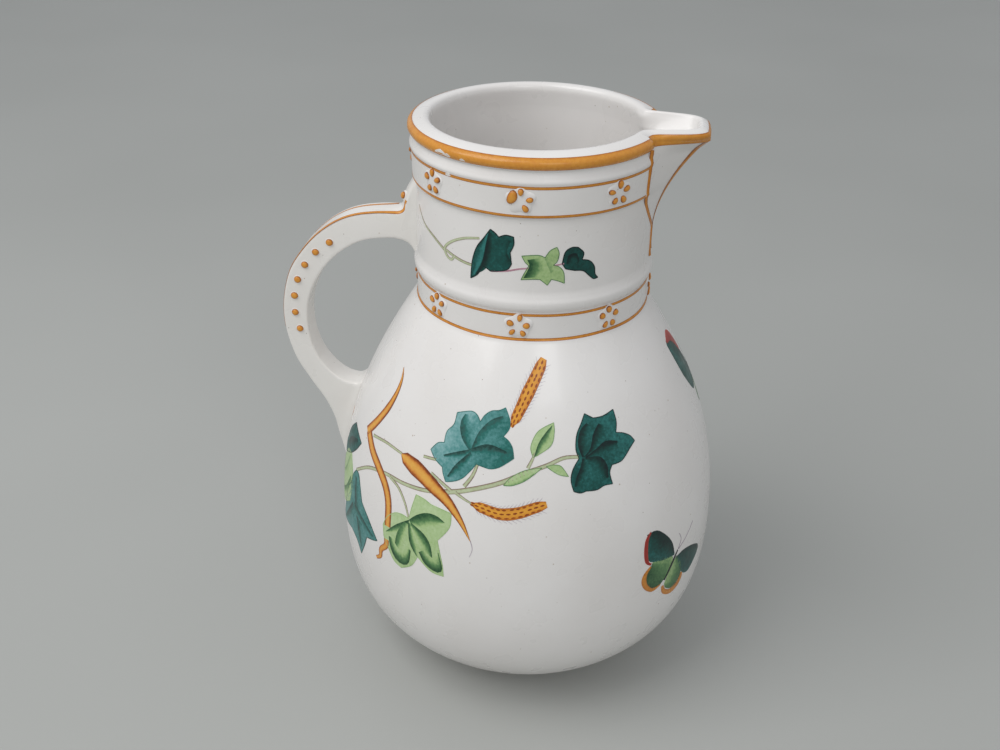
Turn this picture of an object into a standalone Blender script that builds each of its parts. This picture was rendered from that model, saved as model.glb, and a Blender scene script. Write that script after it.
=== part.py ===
"""Ceramic pitcher: a turned jug with a luted spout, a strap handle and applied sprigs.

Run with: blender --background --python part.py

Frame: the origin is the centre of the flat foot, +Z is up, +X points to the spout
and the handle stands on the -X side. All lengths are in metres.
"""
import math

import bmesh
import bpy
from mathutils import Matrix, Vector

MM = 0.001
GAP = 0.3 * MM           # joint line between two pieces that are luted together
MERGE = 0.00001
SHARP_ANGLE = 35.0

# Body: radii from the axis and heights from the foot.
FOOT_RADIUS = 37.4 * MM
FOOT_ROUND = 1.2 * MM
BELLY_RADIUS = 75.3 * MM
BELLY_HEIGHT = 66.0 * MM
NECK_RADIUS = 43.4 * MM
BAND_RADIUS = 45.0 * MM
SHOULDER = (43.5 * MM, 159.2 * MM)       # where the belly meets the neck
SHOULDER_PULL = (63.0 * MM, 129.0 * MM)
UPPER_BELLY_PULL = 37.6 * MM
LOWER_BELLY_PULL = 41.2 * MM
HEEL_PULL = (58.5 * MM, 17.6 * MM)
BELLY_CUTS = 9                           # spans in each of the belly's two curves
RIM_TOP = 227.2 * MM
MOUTH_RADIUS = 37.6 * MM
MOUTH_FLARE = 0.6 * MM
MOUTH_FLARE_DEPTH = 0.8 * MM
MOUTH_LOW = 3.0 * MM                     # the mouth's narrowest ring, below the rim's top
BORE_LOW = 8.0 * MM                      # where the bore starts to narrow, below the rim's top
NECK_BORE = 38.4 * MM
SHOULDER_DROP = 1.0 * MM                 # the bore starts this far below the shoulder
WALL = 4.6 * MM
FLOOR = 4.2 * MM
BODY_STEPS = 44
CUTTER_MARGIN = 6.0 * MM                 # how far a cutter stands clear of the rim

# The neck's outside from the rim down to the shoulder, in mm: a rolled rim, a hollow,
# a round moulding, the upper flower band, the plain neck and the raised ring.
NECK_OUTLINE = [
    (41.0, 227.2), (43.9, 226.3), (45.8, 225.0), (46.2, 223.6), (45.4, 222.2), (44.5, 221.2),
    (45.1, 219.2), (45.6, 217.6), (45.2, 216.0), (44.7, 205.4), (43.6, 204.2), (43.4, 203.0),
    (43.4, 176.8), (44.3, 175.2), (45.2, 173.4), (44.9, 171.2), (43.5, 169.6),
]

# Spout: a beak whose keel swings out as it rises.
KEEL_FOOT = 184.0 * MM
KEEL_TOP = 222.0 * MM
KEEL_INNER_REACH = 41.5 * MM
KEEL_REACH = 61.0 * MM
KEEL_POWER = 1.7
LIP_REACH = 61.4 * MM
LIP_HALF_WIDTH = 7.2 * MM
NOSE_HALF_WIDTH = 0.8 * MM
NOSE_HEIGHT = 217.0 * MM
SPOUT_HALF_ANGLE = 26.0      # degrees, seen from above
SPOUT_ANGLE_POWER = 1.6
SPOUT_FULL_HEIGHT = 208.0 * MM
SPOUT_ROOT = 186.0 * MM
SPOUT_TOP = 226.9 * MM
SPOUT_WALL = 3.5 * MM
KEEL_WALL = 4.6 * MM
TROUGH_FOOT = 192.0 * MM     # lowest point of the V opening in the neck's wall
TROUGH_FULL_HEIGHT = 210.0 * MM
THROAT_REACH = 26.0 * MM     # how far inwards the trough's cutter starts
FLANK_PINCH = 0.44           # share of the root's width left halfway along the beak
POINT_HALF_WIDTH = 0.5 * MM  # a beak that runs out ends this narrow
TROUGH_HALF_WIDTH = 0.4 * MM
CORNER_STAND = 1.1 * MM      # a beak keeps its root's width until just outside the bore
ROOT_DEPTH = 4.0 * MM        # how far the beak reaches into the neck's wall
SPOUT_LEVELS = 10

# Handle: a strap with an outline drawn as (distance from the axis, height).
HANDLE_WIDTH = 11.2 * MM
HANDLE_EDGE = 1.1 * MM
HANDLE_OUTER = [
    (44.0, 203.2), (47.4, 200.9), (50.6, 194.6), (51.4, 189.6), (55.5, 188.4), (65.7, 186.8),
    (74.0, 183.6), (81.8, 177.9), (88.6, 170.2), (94.0, 161.2), (97.0, 149.0), (97.0, 137.0),
    (93.9, 124.6), (88.4, 114.4), (82.4, 105.2), (79.0, 97.0), (77.6, 89.0), (75.6, 80.5),
]
HANDLE_INNER = [
    (64.0, 113.6), (73.6, 114.6), (79.4, 118.4), (84.6, 125.4), (87.4, 134.0), (87.7, 143.0),
    (85.6, 153.0), (80.6, 162.6), (73.0, 171.0), (64.5, 175.8), (55.0, 177.8), (48.6, 176.8),
    (43.0, 172.8),
]
HANDLE_CUTS = 2
EDGE_ANGLE = 55.0            # edges sharper than this are rounded
CREST_BEAD_AT = (50.9, 193.2)
CREST_BEAD_STAND = 0.8 * MM
CREST_TILT = 17.0            # degrees that the crest's outer face leans back

# Raised beads on both sides of the strap, along an arc.
BEAD_ARC_CENTRE = (60.3 * MM, 147.0 * MM)
BEAD_ARC_RADIUS = 32.3 * MM
BEAD_FIRST_ANGLE = 58.6
BEAD_LAST_ANGLE = -18.1
BEADS_PER_SIDE = 7
BEAD_RADIUS = 1.42 * MM
BEAD_RISE = 0.75 * MM
BEAD_STEPS = 12

# Five-petal relief flowers on the two neck bands.
PETALS = 5
FLOWER_CUTS = 4              # outline points for each petal
FLOWER_RADIUS = 3.7 * MM
FLOWER_NOTCH = 0.30          # how deep the outline dips between petals
FLOWER_HALF_DEPTH = 0.2 * MM
FLOWER_ROUND = 0.25 * MM
FLOWER_STEP = 45.0
UPPER_FLOWER_HEIGHT = 211.0 * MM
LOWER_FLOWER_HEIGHT = 163.9 * MM
UPPER_FLOWERS = 7            # the spout takes the place of the eighth
LOWER_FLOWERS = 8
UPPER_FLOWER_SEAT = BAND_RADIUS + 0.2 * MM
LOWER_FLOWER_SEAT = NECK_RADIUS + 0.15 * MM


def clear_scene():
    for item in list(bpy.data.objects):
        bpy.data.objects.remove(item, do_unlink=True)


def new_collection(name):
    collection = bpy.data.collections.new(name)
    bpy.context.scene.collection.children.link(collection)
    return collection


def make_material(name, color, roughness):
    material = bpy.data.materials.new(name)
    material.use_nodes = True
    shader = material.node_tree.nodes["Principled BSDF"]
    shader.inputs["Base Color"].default_value = (*color, 1.0)
    shader.inputs["Roughness"].default_value = roughness
    shader.inputs["Metallic"].default_value = 0.0
    return material


def add_object(name, mesh, collection, material=None):
    item = bpy.data.objects.new(name, mesh)
    collection.objects.link(item)
    if material is not None:
        mesh.materials.clear()
        mesh.materials.append(material)
    return item


def shade(mesh):
    mesh.shade_smooth()
    mesh.set_sharp_from_angle(angle=math.radians(SHARP_ANGLE))


def bezier(start, pull_start, pull_end, end, count):
    """Points along a cubic curve, without its first point."""
    points = []
    for index in range(1, count + 1):
        t = index / count
        s = 1.0 - t
        weights = (s ** 3, 3 * s * s * t, 3 * s * t * t, t ** 3)
        corners = (start, pull_start, pull_end, end)
        points.append(tuple(sum(w * c[axis] for w, c in zip(weights, corners)) for axis in (0, 1)))
    return points


def belly_profile():
    """Outer profile from the shoulder down to the flat foot."""
    widest = (BELLY_RADIUS, BELLY_HEIGHT)
    upper_pull = (BELLY_RADIUS, BELLY_HEIGHT + UPPER_BELLY_PULL)
    lower_pull = (BELLY_RADIUS, BELLY_HEIGHT - LOWER_BELLY_PULL)
    heel = (FOOT_RADIUS, FOOT_ROUND)
    upper = bezier(SHOULDER, SHOULDER_PULL, upper_pull, widest, BELLY_CUTS)
    lower = bezier(widest, lower_pull, HEEL_PULL, heel, BELLY_CUTS)
    return [SHOULDER] + upper + lower


def neck_profile():
    """Outer profile from the top of the rim down to the shoulder."""
    return [(radius * MM, height * MM) for radius, height in NECK_OUTLINE]


def inner_profile():
    """Inner profile from the middle of the floor up to the mouth."""
    outer = belly_profile()
    points = [(0.0, FLOOR)]
    for before, here, after in reversed(list(zip(outer, outer[1:], outer[2:]))):
        run = Vector((after[0] - before[0], after[1] - before[1])).normalized()
        inward = Vector((run.y, -run.x))
        points.append((here[0] + inward.x * WALL, here[1] + inward.y * WALL))
    points.append((NECK_BORE, SHOULDER[1] - SHOULDER_DROP))
    points.append((NECK_BORE, RIM_TOP - BORE_LOW))
    points.append((MOUTH_RADIUS, RIM_TOP - MOUTH_LOW))
    points.append((MOUTH_RADIUS + MOUTH_FLARE, RIM_TOP - MOUTH_FLARE_DEPTH))
    return points


def turned(name, profile, steps, collection, material=None):
    """A solid of revolution about +Z from a profile of (radius, height) points."""
    mesh = bpy.data.meshes.new(name)
    builder = bmesh.new()
    verts = [builder.verts.new((radius, 0.0, height)) for radius, height in profile]
    for first, second in zip(verts, verts[1:]):
        builder.edges.new((first, second))
    builder.to_mesh(mesh)
    builder.free()
    item = add_object(name, mesh, collection, material)
    screw = item.modifiers.new("turn", "SCREW")
    screw.angle = math.tau
    screw.steps = steps
    screw.render_steps = steps
    screw.use_merge_vertices = True
    screw.merge_threshold = MERGE
    screw.use_smooth_shade = True
    return item


def subtract(item, cutter):
    cut = item.modifiers.new("cut " + cutter.name, "BOOLEAN")
    cut.operation = "DIFFERENCE"
    cut.solver = "EXACT"
    cut.object = cutter


def hide_cutter(item):
    item.hide_render = True
    item.display_type = "WIRE"
    return item


def loft(name, rings, collection, material=None):
    """A closed solid through rings that all have the same number of points."""
    mesh = bpy.data.meshes.new(name)
    builder = bmesh.new()
    loops = [[builder.verts.new(point) for point in ring] for ring in rings]
    for lower, upper in zip(loops, loops[1:]):
        for index in range(len(lower)):
            after = (index + 1) % len(lower)
            builder.faces.new((lower[index], lower[after], upper[after], upper[index]))
    builder.faces.new(list(reversed(loops[0])))
    builder.faces.new(loops[-1])
    bmesh.ops.recalc_face_normals(builder, faces=builder.faces)
    builder.to_mesh(mesh)
    builder.free()
    return add_object(name, mesh, collection, material)


def smoothstep(low, high, value):
    t = min(1.0, max(0.0, (value - low) / (high - low)))
    return t * t * (3.0 - 2.0 * t)


def keel_reach(height):
    """How far the keel stands from the axis at a height."""
    rise = max(0.0, (height - KEEL_FOOT) / (KEEL_TOP - KEEL_FOOT))
    reach = KEEL_INNER_REACH + (KEEL_REACH - KEEL_INNER_REACH) * rise ** KEEL_POWER
    return min(reach, LIP_REACH)


def nose_half_width(height):
    spread = smoothstep(NOSE_HEIGHT, SPOUT_TOP, height)
    return NOSE_HALF_WIDTH + (LIP_HALF_WIDTH - NOSE_HALF_WIDTH) * spread


def root_half_width(height):
    """Half the spout's width where it leaves the neck."""
    drop = max(0.0, (SPOUT_FULL_HEIGHT - height) / (SPOUT_FULL_HEIGHT - SPOUT_ROOT))
    angle = SPOUT_HALF_ANGLE * (1.0 - min(1.0, drop) ** SPOUT_ANGLE_POWER)
    return BAND_RADIUS * math.sin(math.radians(angle))


def beak_ring(height, start, reach, root, nose):
    """Plan of a beak at one height, from inside the neck out to its blunt nose."""
    corner = NECK_BORE + CORNER_STAND
    flank = (0.5 * (corner + reach), FLANK_PINCH * root + 0.5 * nose)
    side = [(start, root), (corner, root), flank, (reach - 0.3 * nose, nose), (reach, 0.6 * nose)]
    mirrored = [(x, -y) for x, y in reversed(side)]
    return [Vector((x, y, height)) for x, y in side + mirrored]


def spout_ring(height):
    root = max(POINT_HALF_WIDTH, root_half_width(height))
    nose = min(root, nose_half_width(height))
    return beak_ring(height, NECK_BORE - ROOT_DEPTH, keel_reach(height), root, nose)


def trough_ring(height):
    """The same plan, thinned by the walls and drawn in to a point at the trough's foot."""
    open_share = smoothstep(TROUGH_FOOT, TROUGH_FULL_HEIGHT, height)
    root = POINT_HALF_WIDTH + (root_half_width(height) - SPOUT_WALL) * open_share
    nose = min(root, max(TROUGH_HALF_WIDTH, nose_half_width(height) - 0.75 * SPOUT_WALL))
    return beak_ring(height, THROAT_REACH, keel_reach(height) - KEEL_WALL, root, nose)


def levels(low, high, count):
    return [low + (high - low) * index / count for index in range(count + 1)]


def build_spout(parts, cutters, material, envelope):
    heights = levels(SPOUT_ROOT, SPOUT_TOP, SPOUT_LEVELS)
    spout = loft("spout", [spout_ring(height) for height in heights], parts, material)
    heights = levels(TROUGH_FOOT, SPOUT_TOP, SPOUT_LEVELS) + [SPOUT_TOP + CUTTER_MARGIN]
    trough = loft("trough_cutter", [trough_ring(height) for height in heights], cutters)
    hide_cutter(trough)
    subtract(spout, trough)
    subtract(spout, envelope)
    return spout, trough


def build_body(parts, material, trough):
    foot = [(FOOT_RADIUS - FOOT_ROUND, 0.0), (0.0, 0.0)]
    profile = inner_profile() + neck_profile() + belly_profile() + foot
    body = turned("body", profile, BODY_STEPS, parts, material)
    subtract(body, trough)
    return body


def build_envelope(cutters):
    """The body's outside, grown by the gap: it trims whatever is luted to the body."""
    outline = neck_profile() + belly_profile()
    grown = [(radius + GAP, height) for radius, height in outline]
    lid = RIM_TOP + CUTTER_MARGIN
    profile = [(0.0, lid), (BAND_RADIUS, lid)] + grown[1:] + [(FOOT_RADIUS, -GAP), (0.0, -GAP)]
    return hide_cutter(turned("body_envelope", profile, BODY_STEPS, cutters))


def mesh_from_curve(name, outline, half_depth, round_edge, matrix, collection, material):
    """A flat closed outline with thickness, turned into a welded mesh object."""
    curve = bpy.data.curves.new(name + "_outline", "CURVE")
    curve.dimensions = "2D"
    curve.fill_mode = "BOTH"
    curve.extrude = half_depth
    curve.bevel_depth = round_edge
    curve.bevel_resolution = 0
    spline = curve.splines.new("POLY")
    spline.points.add(len(outline) - 1)
    for point, (x, y) in zip(spline.points, outline):
        point.co = (x, y, 0.0, 1.0)
    spline.use_cyclic_u = True
    guide = add_object(name + "_outline", curve, collection)
    guide.matrix_world = matrix
    bpy.context.view_layer.update()
    evaluated = guide.evaluated_get(bpy.context.evaluated_depsgraph_get())
    mesh = bpy.data.meshes.new_from_object(evaluated)
    mesh.name = name
    builder = bmesh.new()
    builder.from_mesh(mesh)
    bmesh.ops.remove_doubles(builder, verts=builder.verts, dist=MERGE)
    bmesh.ops.recalc_face_normals(builder, faces=builder.faces)
    builder.to_mesh(mesh)
    builder.free()
    item = add_object(name, mesh, collection, material)
    item.matrix_world = matrix
    bpy.data.objects.remove(guide, do_unlink=True)
    return item


def smooth_through(points, cuts):
    """Catmull-Rom points through an open list of points."""
    dense = []
    last = len(points) - 1
    for index in range(last):
        corners = [points[max(0, index - 1)], points[index], points[index + 1]]
        corners.append(points[min(last, index + 2)])
        for cut in range(cuts):
            t = cut / cuts
            a, b, c, d = (Vector(corner) for corner in corners)
            value = b + 0.5 * t * ((c - a) + t * ((2 * a - 5 * b + 4 * c - d) + t * (3 * (b - c) + d - a)))
            dense.append((value.x, value.y))
    dense.append(points[-1])
    return dense


def build_handle(parts, material, envelope):
    outer = smooth_through(HANDLE_OUTER, HANDLE_CUTS)
    inner = smooth_through(HANDLE_INNER, HANDLE_CUTS)
    outline = [(-reach * MM, height * MM) for reach, height in outer + inner]
    stand = Matrix.Rotation(math.radians(90.0), 4, "X")
    half_depth = 0.5 * HANDLE_WIDTH
    handle = mesh_from_curve("handle", outline, half_depth, 0.0, stand, parts, material)
    edge = handle.modifiers.new("soft edges", "BEVEL")
    edge.width = HANDLE_EDGE
    edge.segments = 2
    edge.limit_method = "ANGLE"
    edge.angle_limit = math.radians(EDGE_ANGLE)
    subtract(handle, envelope)
    shade(handle.data)
    return handle


def bead_profile():
    """A low dome on a flat back, facing +Z."""
    profile = [(0.0, BEAD_RISE)]
    for angle in (60.0, 30.0, 0.0):
        turn = math.radians(angle)
        profile.append((BEAD_RADIUS * math.cos(turn), BEAD_RISE * math.sin(turn)))
    profile.append((0.0, 0.0))
    return profile


def place_bead(name, location, facing, parts, material):
    bead = turned(name, bead_profile(), BEAD_STEPS, parts, material)
    bead.location = location
    bead.rotation_mode = "QUATERNION"
    bead.rotation_quaternion = facing.to_track_quat("Z", "Y")
    return bead


def build_beads(parts, material):
    turn = (BEAD_LAST_ANGLE - BEAD_FIRST_ANGLE) / (BEADS_PER_SIDE - 1)
    stand_off = 0.5 * HANDLE_WIDTH + GAP
    for side_name, side in (("near", -1.0), ("far", 1.0)):
        for index in range(BEADS_PER_SIDE):
            angle = math.radians(BEAD_FIRST_ANGLE + turn * index)
            reach = BEAD_ARC_CENTRE[0] + BEAD_ARC_RADIUS * math.cos(angle)
            height = BEAD_ARC_CENTRE[1] + BEAD_ARC_RADIUS * math.sin(angle)
            place = Vector((-reach, side * stand_off, height))
            name = "handle_bead_%s_%d" % (side_name, index + 1)
            place_bead(name, place, Vector((0.0, side, 0.0)), parts, material)
    tilt = math.radians(CREST_TILT)
    outward = Vector((-math.cos(tilt), 0.0, math.sin(tilt)))
    on_face = Vector((-CREST_BEAD_AT[0] * MM, 0.0, CREST_BEAD_AT[1] * MM))
    place_bead("crest_bead", on_face + outward * CREST_BEAD_STAND, outward, parts, material)


def flower_outline():
    points = []
    count = FLOWER_CUTS * PETALS
    for index in range(count):
        angle = math.tau * index / count
        wave = 0.5 - 0.5 * math.cos(PETALS * angle)
        radius = FLOWER_RADIUS * (1.0 - FLOWER_NOTCH * wave)
        points.append((radius * math.sin(angle), radius * math.cos(angle)))
    return points


def place_flower(name, azimuth, height, band_radius, parts, material):
    """A flower on a band, petal up, its back a gap off the band's surface."""
    stand_off = band_radius + GAP + FLOWER_HALF_DEPTH + FLOWER_ROUND
    upright = Matrix.Rotation(math.radians(90.0), 4, "Z") @ Matrix.Rotation(math.radians(90.0), 4, "X")
    outward = Matrix.Rotation(math.radians(azimuth), 4, "Z")
    matrix = outward @ Matrix.Translation((stand_off, 0.0, height)) @ upright
    depth = FLOWER_HALF_DEPTH
    return mesh_from_curve(name, flower_outline(), depth, FLOWER_ROUND, matrix, parts, material)


def build_flowers(parts, material):
    for index in range(1, UPPER_FLOWERS + 1):
        name = "upper_flower_%d" % index
        azimuth = FLOWER_STEP * index
        place_flower(name, azimuth, UPPER_FLOWER_HEIGHT, UPPER_FLOWER_SEAT, parts, material)
    for index in range(1, LOWER_FLOWERS + 1):
        name = "lower_flower_%d" % index
        azimuth = FLOWER_STEP * (index - 1)
        place_flower(name, azimuth, LOWER_FLOWER_HEIGHT, LOWER_FLOWER_SEAT, parts, material)


def main():
    clear_scene()
    parts = new_collection("ceramic_pitcher")
    cutters = new_collection("cutters")
    body_glaze = make_material("white glazed earthenware", (0.71, 0.70, 0.67), 0.22)
    spout_glaze = make_material("white glaze of the spout", (0.71, 0.70, 0.67), 0.22)
    handle_glaze = make_material("white glaze of the handle", (0.70, 0.69, 0.66), 0.22)
    bead_enamel = make_material("ochre enamel of the beads", (0.46, 0.17, 0.03), 0.3)
    flower_enamel = make_material("ochre enamel of the flowers", (0.48, 0.19, 0.04), 0.3)
    envelope = build_envelope(cutters)
    spout, trough = build_spout(parts, cutters, spout_glaze, envelope)
    shade(spout.data)
    build_body(parts, body_glaze, trough)
    build_handle(parts, handle_glaze, envelope)
    build_beads(parts, bead_enamel)
    build_flowers(parts, flower_enamel)


main()
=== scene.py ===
"""Looks of the ceramic pitcher: glazed clay, enamelled rim and lines, painted ivy sprays.

Frame: the origin is the centre of the foot, +Z is up and +X points to the spout.
Lengths are in mm until a mesh is made. A painted point is (azimuth, height): degrees round
the axis from the spout, and mm above the foot, on the outside of the pitcher.
"""

import math
import random

import bmesh
import bpy
from mathutils import Matrix, Vector


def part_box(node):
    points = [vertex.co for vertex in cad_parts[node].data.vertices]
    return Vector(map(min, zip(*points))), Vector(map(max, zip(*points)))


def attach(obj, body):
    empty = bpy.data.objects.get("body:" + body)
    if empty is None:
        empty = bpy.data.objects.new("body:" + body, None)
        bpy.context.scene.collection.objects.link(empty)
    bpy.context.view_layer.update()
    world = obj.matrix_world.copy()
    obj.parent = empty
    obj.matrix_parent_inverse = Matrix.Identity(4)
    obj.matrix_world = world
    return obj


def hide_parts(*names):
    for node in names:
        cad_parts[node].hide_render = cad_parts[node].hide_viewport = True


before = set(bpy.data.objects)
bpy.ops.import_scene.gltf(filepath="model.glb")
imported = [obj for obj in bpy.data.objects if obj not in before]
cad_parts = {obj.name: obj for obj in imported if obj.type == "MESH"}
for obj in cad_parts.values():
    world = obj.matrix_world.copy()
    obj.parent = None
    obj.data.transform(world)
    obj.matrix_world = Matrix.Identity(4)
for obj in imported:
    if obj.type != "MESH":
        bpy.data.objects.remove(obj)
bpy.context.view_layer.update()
BODY = "root"
MM = 0.001

# Turned body: (radius, height) in mm.
NECK_OUTLINE = [
    (41.0, 227.2), (43.9, 226.3), (45.8, 225.0), (46.2, 223.6), (45.4, 222.2), (44.5, 221.2),
    (45.1, 219.2), (45.6, 217.6), (45.2, 216.0), (45.0, 213.0), (44.8, 209.0), (44.7, 206.6),
    (44.6, 205.4), (43.6, 204.2), (43.4, 203.0), (43.4, 200.0), (43.4, 195.0), (43.4, 188.0),
    (43.4, 182.0), (43.4, 178.4), (43.5, 176.8), (44.0, 175.0), (44.6, 173.2), (44.4, 171.2),
    (43.5, 169.6),
]
SHOULDER = (43.5, 159.2)
SHOULDER_PULL = (63.0, 129.0)
BELLY = (75.3, 66.0)
UPPER_PULL = (75.3, 103.6)
LOWER_PULL = (75.3, 24.8)
HEEL_PULL = (58.5, 17.6)
HEEL = (37.4, 1.2)
HEEL_ROUND = [(37.2, 0.5), (36.6, 0.12)]
FOOT = [(35.8, 0.0), (20.0, 0.0), (0.5, 0.0)]
WALL = 4.6
FLOOR = 4.2
FLOOR_ROUND = 1.6         # the wall's inside rounds into the floor from this far above it
BORE = 38.4
BORE_TOP = 216.0
MOUTH_LOW = 218.5
MOUTH = [(39.5, 227.1), (38.6, 226.5), (38.15, 225.5), (38.0, 224.2), (38.2, 221.5)]
NECK_RADIUS = 43.4
BAND_RADIUS = 44.6
RIM_OUT = 46.2
RIM_IN = 38.0
LIP_RISE = 224.0          # the rim turns over above this height

# Spout: half-angle of its root, keel line and lip.
SPOUT_ANGLE = 23.5
SPOUT_ANGLE_POWER = 1.6
SPOUT_FULL = 208.0        # the root has its full half-angle above this height
SPOUT_ROOT = 186.0
BAND_STEP = (202.0, 207.0)     # the neck widens to the flower band between these heights
TROUGH = (191.0, 200.0)        # and the bore opens into the trough between these
SPOUT_LEAST_ANGLE = 3.0
KEEL_TOP = 222.0
KEEL_REACH = 61.0
KEEL_POWER = 1.87
LIP_REACH = 61.4
NOSE_LOW = 217.0
NOSE_TOP = 226.9
NOSE_HALF = 0.8
LIP_HALF = 7.2
KEEL_WALL = 4.6
LIP_WALL = 2.6
LIP_ROUND = 0.3
SEAM_LOW = 188.0          # the spout piece starts here
# Half-width of the beak along its way from the root, 0, to the tip, 1: at the lip, and lower down
# where it is a wedge. 1 is the root's half-width and 0 the nose's.
LIP_PLAN = [(0, 1), (0.03, 0.83), (0.085, 0.64), (0.2, 0.545), (0.383, 0.485), (0.706, 0.369),
            (0.86, 0.27), (0.95, 0.14), (1, 0)]
WEDGE_PLAN = [(0, 1), (0.03, 0.93), (0.1, 0.8), (0.3, 0.56), (0.6, 0.3), (0.85, 0.11), (1, 0)]
# Columns of points along a flank, as shares of that way, and across half of the nose.
FLANK_STEPS = [0, 0.02, 0.05, 0.085, 0.13, 0.2, 0.29, 0.383, 0.5, 0.6, 0.706, 0.8, 0.86, 0.905,
               0.95, 0.98, 1]
NOSE_STEPS = [0.66, 0.33]
BODY_COLUMNS = 150

# Handle: (outer point, inner point) of each section, as (distance from the axis, height).
HANDLE_SECTIONS = [
    ((42.2, 202.6), (42.0, 171.6)), ((44.3, 201.6), (43.4, 173.2)), ((46.2, 199.5), (45.0, 174.8)),
    ((47.9, 196.4), (46.6, 176.0)), ((49.0, 193.2), (48.0, 176.8)), ((49.9, 190.2), (49.8, 177.4)),
    ((53.6, 188.7), (53.4, 177.8)), ((65.7, 186.8), (62.5, 176.5)), ((74.0, 183.6), (69.0, 173.6)),
    ((81.8, 177.9), (75.4, 168.8)), ((88.6, 170.2), (80.8, 162.4)), ((94.0, 161.2), (85.0, 154.6)),
    ((97.0, 149.0), (87.5, 145.6)), ((97.0, 137.0), (87.4, 134.6)), ((93.9, 124.6), (84.6, 125.4)),
    ((88.4, 114.4), (79.6, 118.5)), ((82.6, 105.2), (74.6, 115.0)), ((79.2, 97.0), (70.0, 113.9)),
    ((77.5, 89.0), (67.0, 113.6)), ((75.0, 80.0), (64.9, 113.4)),
]
HANDLE_HALF = 5.6
CREST_SEAT = Vector((-48.5, -1.9, 194.0))
HANDLE_CUTS = 9
HANDLE_SIDES = 44
HANDLE_SQUARENESS = 0.15   # 1 would be an ellipse, 0 a rectangle
FILLET = 3.6              # the handle starts to spread this far from the wall
FLARE = 1.7               # and spreads by this much
CREST_BULGE = 2.1
CREST_FOOT = (187.8, 190.4)    # the crest's outer face starts to bulge between these heights

# Enamel and paint: how far each stands out of the glaze, and places and widths of single lines.
ENAMEL_LIFT = 0.10
PAINT_LIFT = 0.07
STEP_LIFT = 0.025          # each further layer of paint
FOLD_LIFT = 0.006          # each further fold of a leaf
FILM = 0.16                # thickness of a painted film, most of it sunk in the glaze
WELD = 0.002               # points closer than this are merged
RIM_ENAMEL_LOW = 222.2
RIM_ENAMEL_TOP = 226.3
CREASE_LEAST_ANGLE = 5.0   # below the spout its two lines end this far from its middle
CREASE_LIFT = 0.12
CREASE_TURN = 30.0         # how far the crease's outward direction leans away from the spout
CATKIN_WIDTH = 4.5
NECK_TURN = -1.2           # degrees that the whole neck spray is turned by

# Floor and camera, in metres and degrees. The turn is round the axis, away from the side.
FLOOR_HALF = 30.0
CAMERA_TURN = 7.5
CAMERA_PITCH = 28.98
CAMERA_ROLL = -0.88
CAMERA_PLACE = (0.0450, -0.43185, 0.3611)


# ---------------------------------------------------------------- curves and surfaces

def lerp(a, b, t):
    return tuple(x + (y - x) * t for x, y in zip(a, b))


def smoothstep(low, high, value):
    t = min(1.0, max(0.0, (value - low) / (high - low)))
    return t * t * (3.0 - 2.0 * t)


def smooth(points, cuts):
    """Catmull-Rom points through an open list of points."""
    dense = []
    last = len(points) - 1
    for index in range(last):
        a = points[max(0, index - 1)]
        b = points[index]
        c = points[index + 1]
        d = points[min(last, index + 2)]
        for cut in range(cuts):
            t = cut / cuts
            point = []
            for p, q, r, s in zip(a, b, c, d):
                curve = (r - p) + t * ((2 * p - 5 * q + 4 * r - s) + t * (3 * (q - r) + s - p))
                point.append(q + 0.5 * t * curve)
            dense.append(tuple(point))
    dense.append(tuple(points[-1]))
    return dense


def resample(points, count):
    """count + 1 points at equal distances along a polyline."""
    lengths = [0.0]
    for a, b in zip(points, points[1:]):
        lengths.append(lengths[-1] + math.dist(a, b))
    found = []
    span = 0
    for index in range(count + 1):
        target = lengths[-1] * index / count
        while span < len(points) - 2 and lengths[span + 1] < target:
            span += 1
        length = max(1e-9, lengths[span + 1] - lengths[span])
        found.append(lerp(points[span], points[span + 1], (target - lengths[span]) / length))
    return found


def bezier(a, b, c, d, count):
    points = []
    for index in range(count + 1):
        t = index / count
        s = 1.0 - t
        weights = (s ** 3, 3 * s * s * t, 3 * s * t * t, t ** 3)
        points.append(tuple(sum(w * p[k] for w, p in zip(weights, (a, b, c, d))) for k in (0, 1)))
    return points


def look_up(table, x):
    """Linear value at x in a list of (x, value) with rising x."""
    for (x0, y0), (x1, y1) in zip(table, table[1:]):
        if x <= x1:
            return y0 + (y1 - y0) * (x - x0) / max(1e-9, x1 - x0)
    return table[-1][1]


def belly_curve():
    """(radius, height) down the outside, from the shoulder to the foot."""
    upper = bezier(SHOULDER, SHOULDER_PULL, UPPER_PULL, BELLY, 48)
    lower = bezier(BELLY, LOWER_PULL, HEEL_PULL, HEEL, 48)
    return upper + lower[1:]


def inner_curve(outer):
    """The belly's inside, a wall's thickness within its outside, down to the floor."""
    points = []
    for before, here, after in zip(outer, outer[1:], outer[2:]):
        run = Vector((after[0] - before[0], after[1] - before[1])).normalized()
        points.append((here[0] + run.y * WALL, here[1] - run.x * WALL))
    return [point for point in points if point[1] > FLOOR + FLOOR_ROUND]


RIM_CURVE = smooth(NECK_OUTLINE, 6)
BELLY_CURVE = belly_curve()
OUTSIDE = RIM_CURVE + BELLY_CURVE
RADIUS_TABLE = [(height, radius) for radius, height in reversed(OUTSIDE)]
LIP_TABLE = smooth(LIP_PLAN, 6)
WEDGE_TABLE = smooth(WEDGE_PLAN, 6)


def radius_at(height):
    return look_up(RADIUS_TABLE, height)


def slope_at(height, step):
    return (radius_at(height + step) - radius_at(height - step)) / (2 * step)


def on_wall(azimuth, height, lift=0.0):
    """A point on the turned outside, and the normal there."""
    angle = math.radians(azimuth)
    normal = Vector((math.cos(angle), math.sin(angle), -slope_at(height, 0.4))).normalized()
    radius = radius_at(height)
    point = Vector((radius * math.cos(angle), radius * math.sin(angle), height))
    return point + normal * lift, normal


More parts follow.
